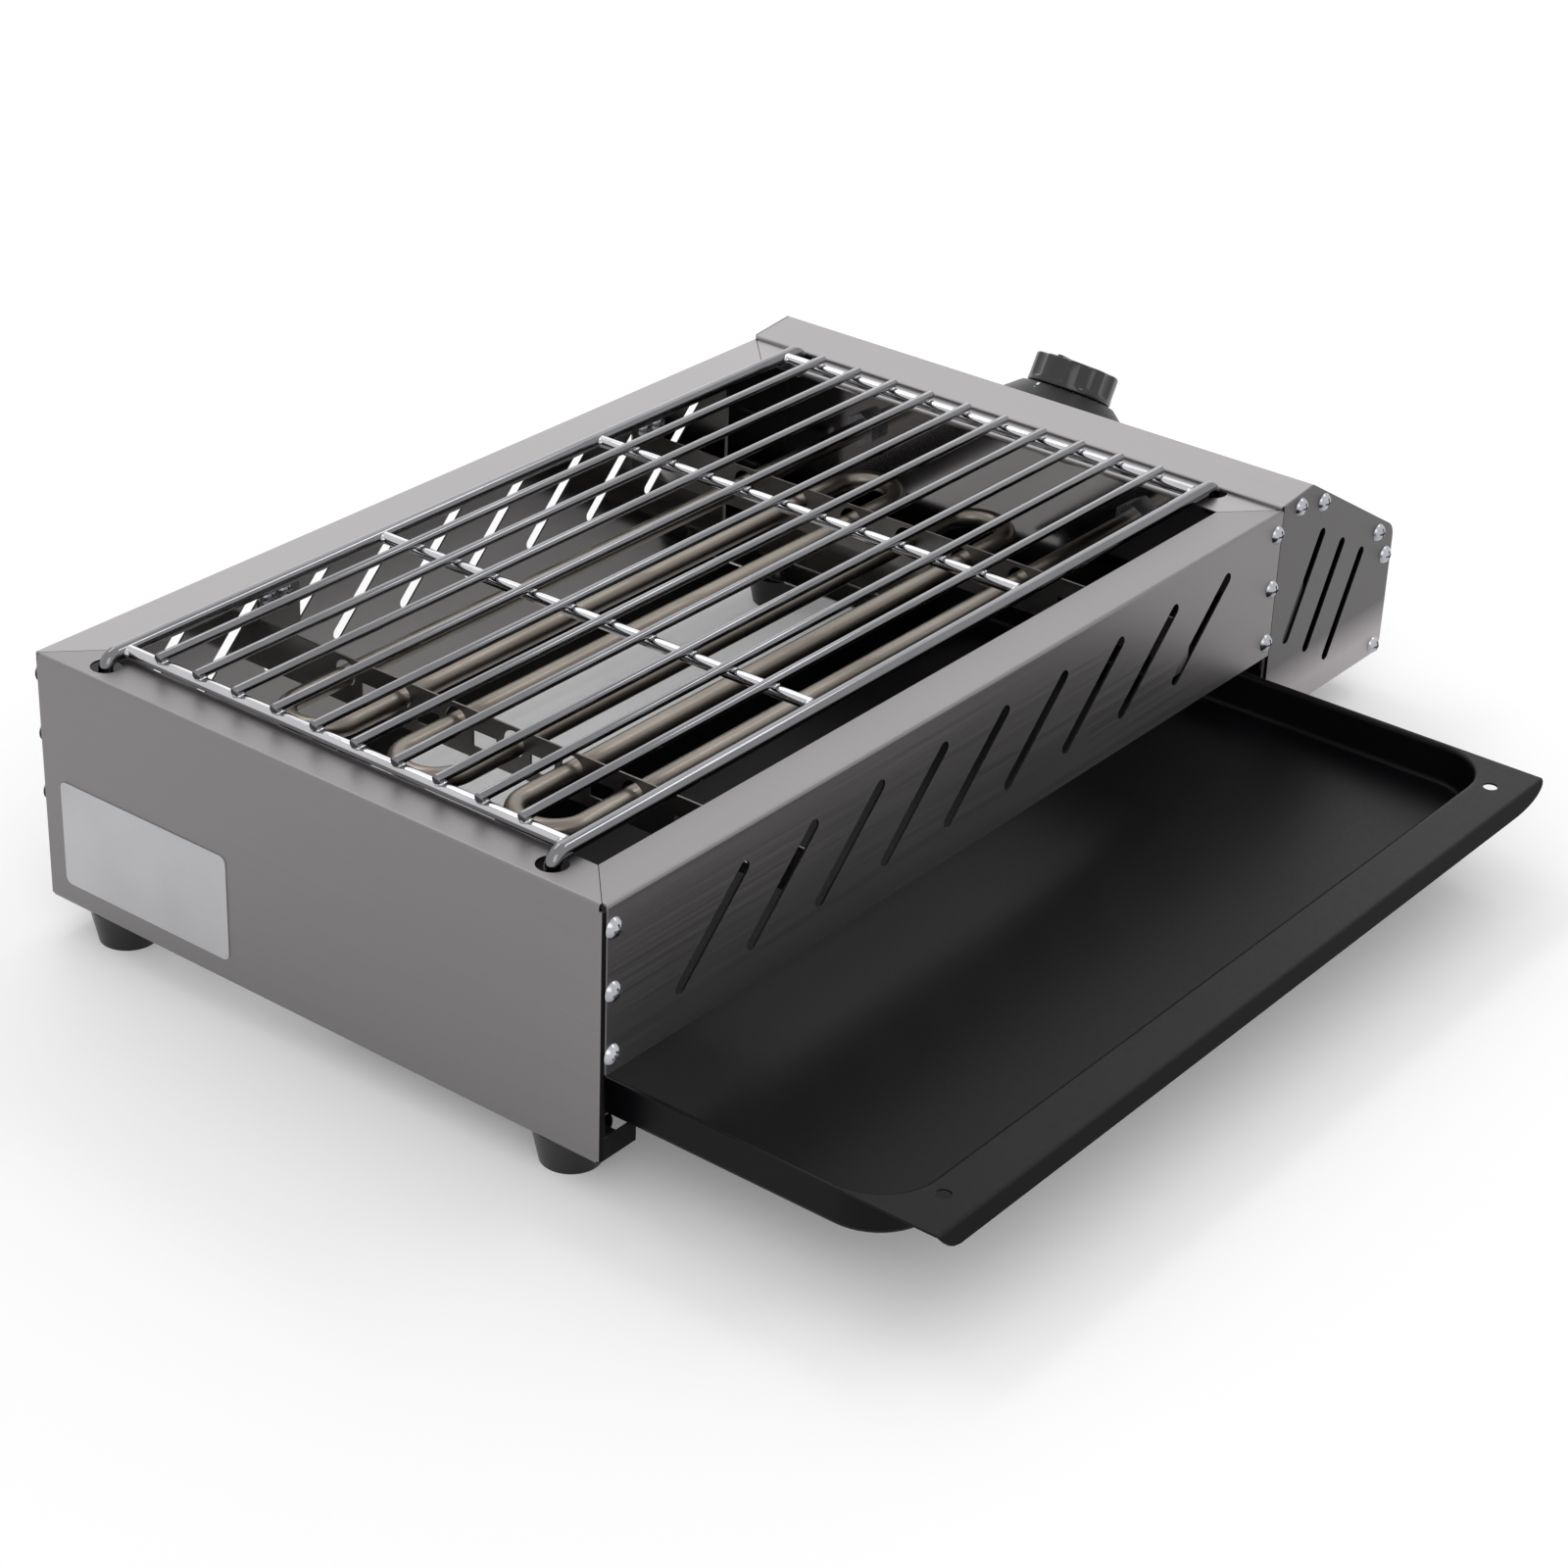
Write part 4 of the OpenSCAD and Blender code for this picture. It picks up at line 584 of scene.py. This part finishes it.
def makeRack():
    r = rack
    bars = solidBoxes("rack_bars")
    wires = solidBoxes("rack_cross_wires")
    rods = solidBoxes("rack_side_rods")
    barRadius = (bars[0][1][1] - bars[0][0][1]) / 2
    wireRadius = (wires[0][1][0] - wires[0][0][0]) / 2
    rodRadius = (rods[0][1][1] - rods[0][0][1]) / 2
    barY = [(low[1] + high[1]) / 2 for low, high in bars]
    barZ = [(low[2] + high[2]) / 2 for low, high in bars]
    wireX = [(low[0] + high[0]) / 2 for low, high in wires]
    wireZ = (wires[0][0][2] + wires[0][1][2]) / 2
    seamZ = (wires[0][1][2] + bars[0][0][2]) / 2

    shapes = [wirePoints([(low[0], y, z), (high[0], y, z)], barRadius)
              for (low, high), y, z in zip(bars, barY, barZ)]
    addPiece("rack_bars_drawn", *joinShapes(shapes), "rack", "chromed_wire", ["rack_bars"], 60)
    shapes = [wirePoints([(x, low[1], wireZ), (x, high[1], wireZ)], wireRadius, False)
              for x, (low, high) in zip(wireX, wires)]
    addPiece("rack_cross_wires_drawn", *joinShapes(shapes), "rack", "chromed_wire", ["rack_cross_wires"],
             60, paintedBrightChrome)
    shapes = [wirePoints(rodPath(low, high, rodRadius), rodRadius) for low, high in rods]
    addPiece("rack_side_rods_bent", *joinShapes(shapes), "rack", "chromed_wire", ["rack_side_rods"], 60)

    shapes = []
    for i, x in enumerate(wireX):
        for k, y in enumerate(barY):
            shapes.append(beadPoints((x, y, seamZ), r["beadSize"], i * 3.1 + k * 1.3))
        for (low, high), way in zip(rods, (1, -1)):
            y = high[1] if way > 0 else low[1]
            shapes.append(beadPoints((x, y, wireZ), r["cornerBead"], i * 2.3 + way))
    addPiece("rack_welds", *joinShapes(shapes), "rack", "chromed_wire", (), 80, paintedBrightChrome)


makeRack()
print("rack drawn and welded")


# Knob: moulded black, with broad shallow finger flutes and a raised pointer
knob = {
    "radius": 19.7,
    "height": 13.5,
    "flutes": 10,
    "fluteTurn": 27,        # degrees
    "fluteRadius": 14.0,
    "fluteDepth": 0.9,
    "steps": 240,
    "slope": 30.0,
    "bezelHeight": 8.0,
    "gap": 0.5,
    # the side's outline: height, share of the flutes' depth, and how far in it stands
    "fromFoot": [(0, 0, 0.6), (0.4, 0, 0.15), (0.8, 0, 0), (2.0, 0, 0), (2.5, 0.35, 0), (3.0, 0.75, 0),
                 (3.7, 1, 0)],
    "fromTop": [(-1.1, 1, 0), (-0.605, 1, 0.12), (-0.22, 1, 0.45), (0, 1, 1.05), (0, 1, 1.6)],
    "dish": [(0.8, 0.0), (0.5, 0.25), (0.2, 0.35)],   # the top sinks a little: share of the radius, depth
    "pointer": (10.0, 2.4),
    "pointerInset": 1.6,
    "pointerEdge": [(-0.5, 0), (0.45, 0), (0.7, 0.15), (0.8, 0.35)],   # height over the top, how far in
}
knobJoint = [joint for joint in frame["joints"] if joint["name"] == "knob_turn"][0]
knobSeat = Vector(knobJoint["pos_m"]) / mm


# The knob's outline at an angle, scooped by the flutes to a share of their depth
def fluteReach(angle, depthShare):
    k = knob
    pitch = 2 * math.pi / k["flutes"]
    away = ((angle - math.radians(k["fluteTurn"])) % pitch) - pitch / 2
    centre = k["radius"] + k["fluteRadius"] - k["fluteDepth"] * depthShare
    inside = k["fluteRadius"] ** 2 - (centre * math.sin(away)) ** 2
    if inside <= 0:
        return k["radius"]
    return min(k["radius"], centre * math.cos(away) - math.sqrt(inside))


# From the sloping panel's own frame, with z away from the panel, to the shared frame
def onSlope(point):
    turned = Matrix.Rotation(math.radians(knob["slope"]), 3, "Y") @ Vector(point)
    return turned + knobSeat


def makeKnob():
    k = knob
    base = k["bezelHeight"] + k["gap"]
    top = base + k["height"]
    angles = [2 * math.pi * i / k["steps"] for i in range(k["steps"])]
    rows = [(base + z, share, inset) for z, share, inset in k["fromFoot"]]
    rows += [(top + z, share, inset) for z, share, inset in k["fromTop"]]
    points = []
    for z, share, inset in rows:
        for angle in angles:
            reach = (fluteReach(angle, share) if share else k["radius"]) - inset
            points.append(onSlope((reach * math.cos(angle), reach * math.sin(angle), z)))
    for share, drop in k["dish"]:
        reach = k["radius"] * share
        points += [onSlope((reach * math.cos(angle), reach * math.sin(angle), top - drop))
                   for angle in angles]
    rings = len(rows) + len(k["dish"])
    faces = ringFaces(rings, k["steps"])
    faces += [tuple(range(k["steps"])), tuple((rings - 1) * k["steps"] + i for i in range(k["steps"]))]

    # the pointer, from near the edge inwards, with soft top edges
    long, wide = k["pointer"]
    start = k["pointerInset"] - k["radius"]
    corners = []
    for z, inset in k["pointerEdge"]:
        x0, x1, y1 = start + inset, start + long - inset, wide / 2 - inset
        corners += [onSlope((x, y, top + z)) for x, y in ((x0, -y1), (x1, -y1), (x1, y1), (x0, y1))]
    last = len(corners) - 4
    pointerFaces = ringFaces(len(k["pointerEdge"]), 4) + [(0, 1, 2, 3), (last, last + 1, last + 2, last + 3)]
    shapes = [(points, faces), (corners, pointerFaces)]
    addPiece("control_knob_moulded", *joinShapes(shapes), "knob", "black_plastic_knob", ["control_knob"], 35)


# The off position, printed on the bezel, which is a cone
bezelMarks = {
    "coneTop": 22.5,        # the cone's radius at its top
    "coneFoot": 30.0,
    "angle": 173,           # degrees
    "dotRadius": 0.75,
    "dotDown": 1.0,         # from the cone's top
    "dotSides": 24,
    "barDown": 2.6,
    "bar": (2.4, 0.7),
    "print": 0.05,          # the ink stands this far proud of the cone
}


# A spot on the cone, by how far it lies round from the marks' angle and down from the top
def onCone(across, down):
    b = bezelMarks
    share = down / knob["bezelHeight"]
    reach = b["coneTop"] + (b["coneFoot"] - b["coneTop"]) * share + b["print"]
    turn = math.radians(b["angle"]) + across / reach
    return onSlope((reach * math.cos(turn), reach * math.sin(turn), knob["bezelHeight"] - down))


# A dot with a bar under it
def makeMarks():
    b = bezelMarks
    n = b["dotSides"]
    angles = [2 * math.pi * i / n for i in range(n)]
    dot = [onCone(0, b["dotDown"])] + [
        onCone(b["dotRadius"] * math.cos(a), b["dotDown"] + b["dotRadius"] * math.sin(a)) for a in angles]
    dotFaces = [(0, 1 + i, 1 + (i + 1) % n) for i in range(n)]
    long, wide = b["bar"]
    corners = [(-wide / 2, 0), (wide / 2, 0), (wide / 2, long), (-wide / 2, long)]
    bar = [onCone(x, b["barDown"] + y) for x, y in corners]
    shapes = [(dot, dotFaces), (bar, [(0, 1, 2, 3)])]
    addPiece("bezel_marks", *joinShapes(shapes), "root", "black_plastic_knob", finish=whitePrint)


makeKnob()
makeMarks()
print("knob moulded, bezel marked")


# Camera, lamps and floor

camera = {
    "place": (-1043.2, -734.1, 724.9),   # mm, where the photographer stood
    "heading": 37.105,                   # degrees from +X
    "dip": 28.648,                       # degrees below level
    "roll": 2.313,
    "lens": 82.52,                       # mm, as the film's width
    "filmWidth": 36,
    "clip": (0.05, 60),                  # metres
}
studio = {
    "worldLevel": 0.75,     # on the object; what looks at it directly sees white
    "floorLift": 0.16,      # lifts the floor to white where it is looked at
    "floorColour": "#F0F0F1",
    "floorSize": 12,        # metres
    # name, place, target, size and power, in metres and watts
    "lamps": [
        # the flat tops mirror this one towards the camera
        ("keySoftbox", (2.1, 1.6, 1.45), (0, 0, 0.1), (3, 3), 20),
        ("frontFill", (-1.6, -1.5, 1.4), (0, 0, 0.05), (1.4, 1.4), 7),
        # these narrow ones draw a bright line along each wire, tube and bend
        ("highStrip", (1.4, -0.55, 2.0), (0, 0, 0.1), (1.6, 0.25), 5),
        ("rearStrip", (0.2, 1.3, 2.0), (0, 0, 0.1), (1.2, 0.3), 5),
    ],
}


def addCamera():
    c = camera
    data = bpy.data.cameras.new("camera")
    data.sensor_width = c["filmWidth"]
    data.lens = c["lens"]
    data.clip_start, data.clip_end = c["clip"]
    heading = math.radians(c["heading"])
    dip = math.radians(c["dip"])
    look = Vector((math.cos(heading) * math.cos(dip), math.sin(heading) * math.cos(dip), -math.sin(dip)))
    roll = Quaternion((0, 0, 1), math.radians(c["roll"]))
    thing = bpy.data.objects.new("camera", data)
    thing.location = [v * mm for v in c["place"]]
    thing.rotation_mode = "QUATERNION"
    thing.rotation_quaternion = look.to_track_quat("-Z", "Y") @ roll
    bpy.context.scene.collection.objects.link(thing)
    bpy.context.scene.camera = thing


def addLamp(name, place, target, size, power):
    data = bpy.data.lights.new(name, "AREA")
    data.shape = "RECTANGLE"
    data.size, data.size_y = size
    data.energy = power
    thing = bpy.data.objects.new(name, data)
    thing.location = place
    thing.rotation_mode = "QUATERNION"
    thing.rotation_quaternion = (Vector(target) - Vector(place)).to_track_quat("-Z", "Y")
    bpy.context.scene.collection.objects.link(thing)


# 1 where a camera, glossy or transmission ray looks at the background, 0 where it lights the object
def seenDirectly(tree):
    path = addNode(tree, "ShaderNodeLightPath")
    first = addNode(tree, "ShaderNodeMath", {"operation": "MAXIMUM"}, {}, {
        0: path.outputs["Is Camera Ray"], 1: path.outputs["Is Glossy Ray"]})
    either = addNode(tree, "ShaderNodeMath", {"operation": "MAXIMUM"}, {}, {
        0: first.outputs[0], 1: path.outputs["Is Transmission Ray"]})
    return either.outputs[0]


def addBackdrop():
    world = bpy.data.worlds.new("studio")
    bpy.context.scene.world = world
    world.use_nodes = True
    tree = world.node_tree
    background = tree.nodes["Background"]
    background.inputs["Color"].default_value = (1, 1, 1, 1)
    level = addNode(tree, "ShaderNodeMapRange", {}, {"To Min": studio["worldLevel"], "To Max": 1.0},
                    {"Value": seenDirectly(tree)})
    tree.links.new(level.outputs["Result"], background.inputs["Strength"])


def addFloor():
    half = studio["floorSize"] / 2
    corners = [(-half, -half, 0), (half, -half, 0), (half, half, 0), (-half, half, 0)]
    mesh = bpy.data.meshes.new("floor")
    mesh.from_pydata(corners, [], [(0, 1, 2, 3)])
    floor = bpy.data.objects.new("floor", mesh)
    bpy.context.scene.collection.objects.link(floor)
    # matte studio paper: no gloss, and a soft shadow on it
    material, tree, shader = newMaterial("paperFloor", studio["floorColour"], 0.0, 1.0,
                                         Specular_IOR_Level=0.0)
    lift = addNode(tree, "ShaderNodeMapRange", {}, {"To Min": 0.0, "To Max": studio["floorLift"]},
                   {"Value": seenDirectly(tree)})
    glow = addNode(tree, "ShaderNodeEmission", {}, {"Color": (1, 1, 1, 1)},
                   {"Strength": lift.outputs["Result"]})
    both = addNode(tree, "ShaderNodeAddShader", {}, {}, {0: shader.outputs[0], 1: glow.outputs[0]})
    tree.links.new(both.outputs[0], tree.nodes["Material Output"].inputs["Surface"])
    mesh.materials.append(material)


bpy.context.scene.view_settings.view_transform = "Standard"
addCamera()
addBackdrop()
addFloor()
for lamp in studio["lamps"]:
    addLamp(*lamp)
print("camera and studio ready")
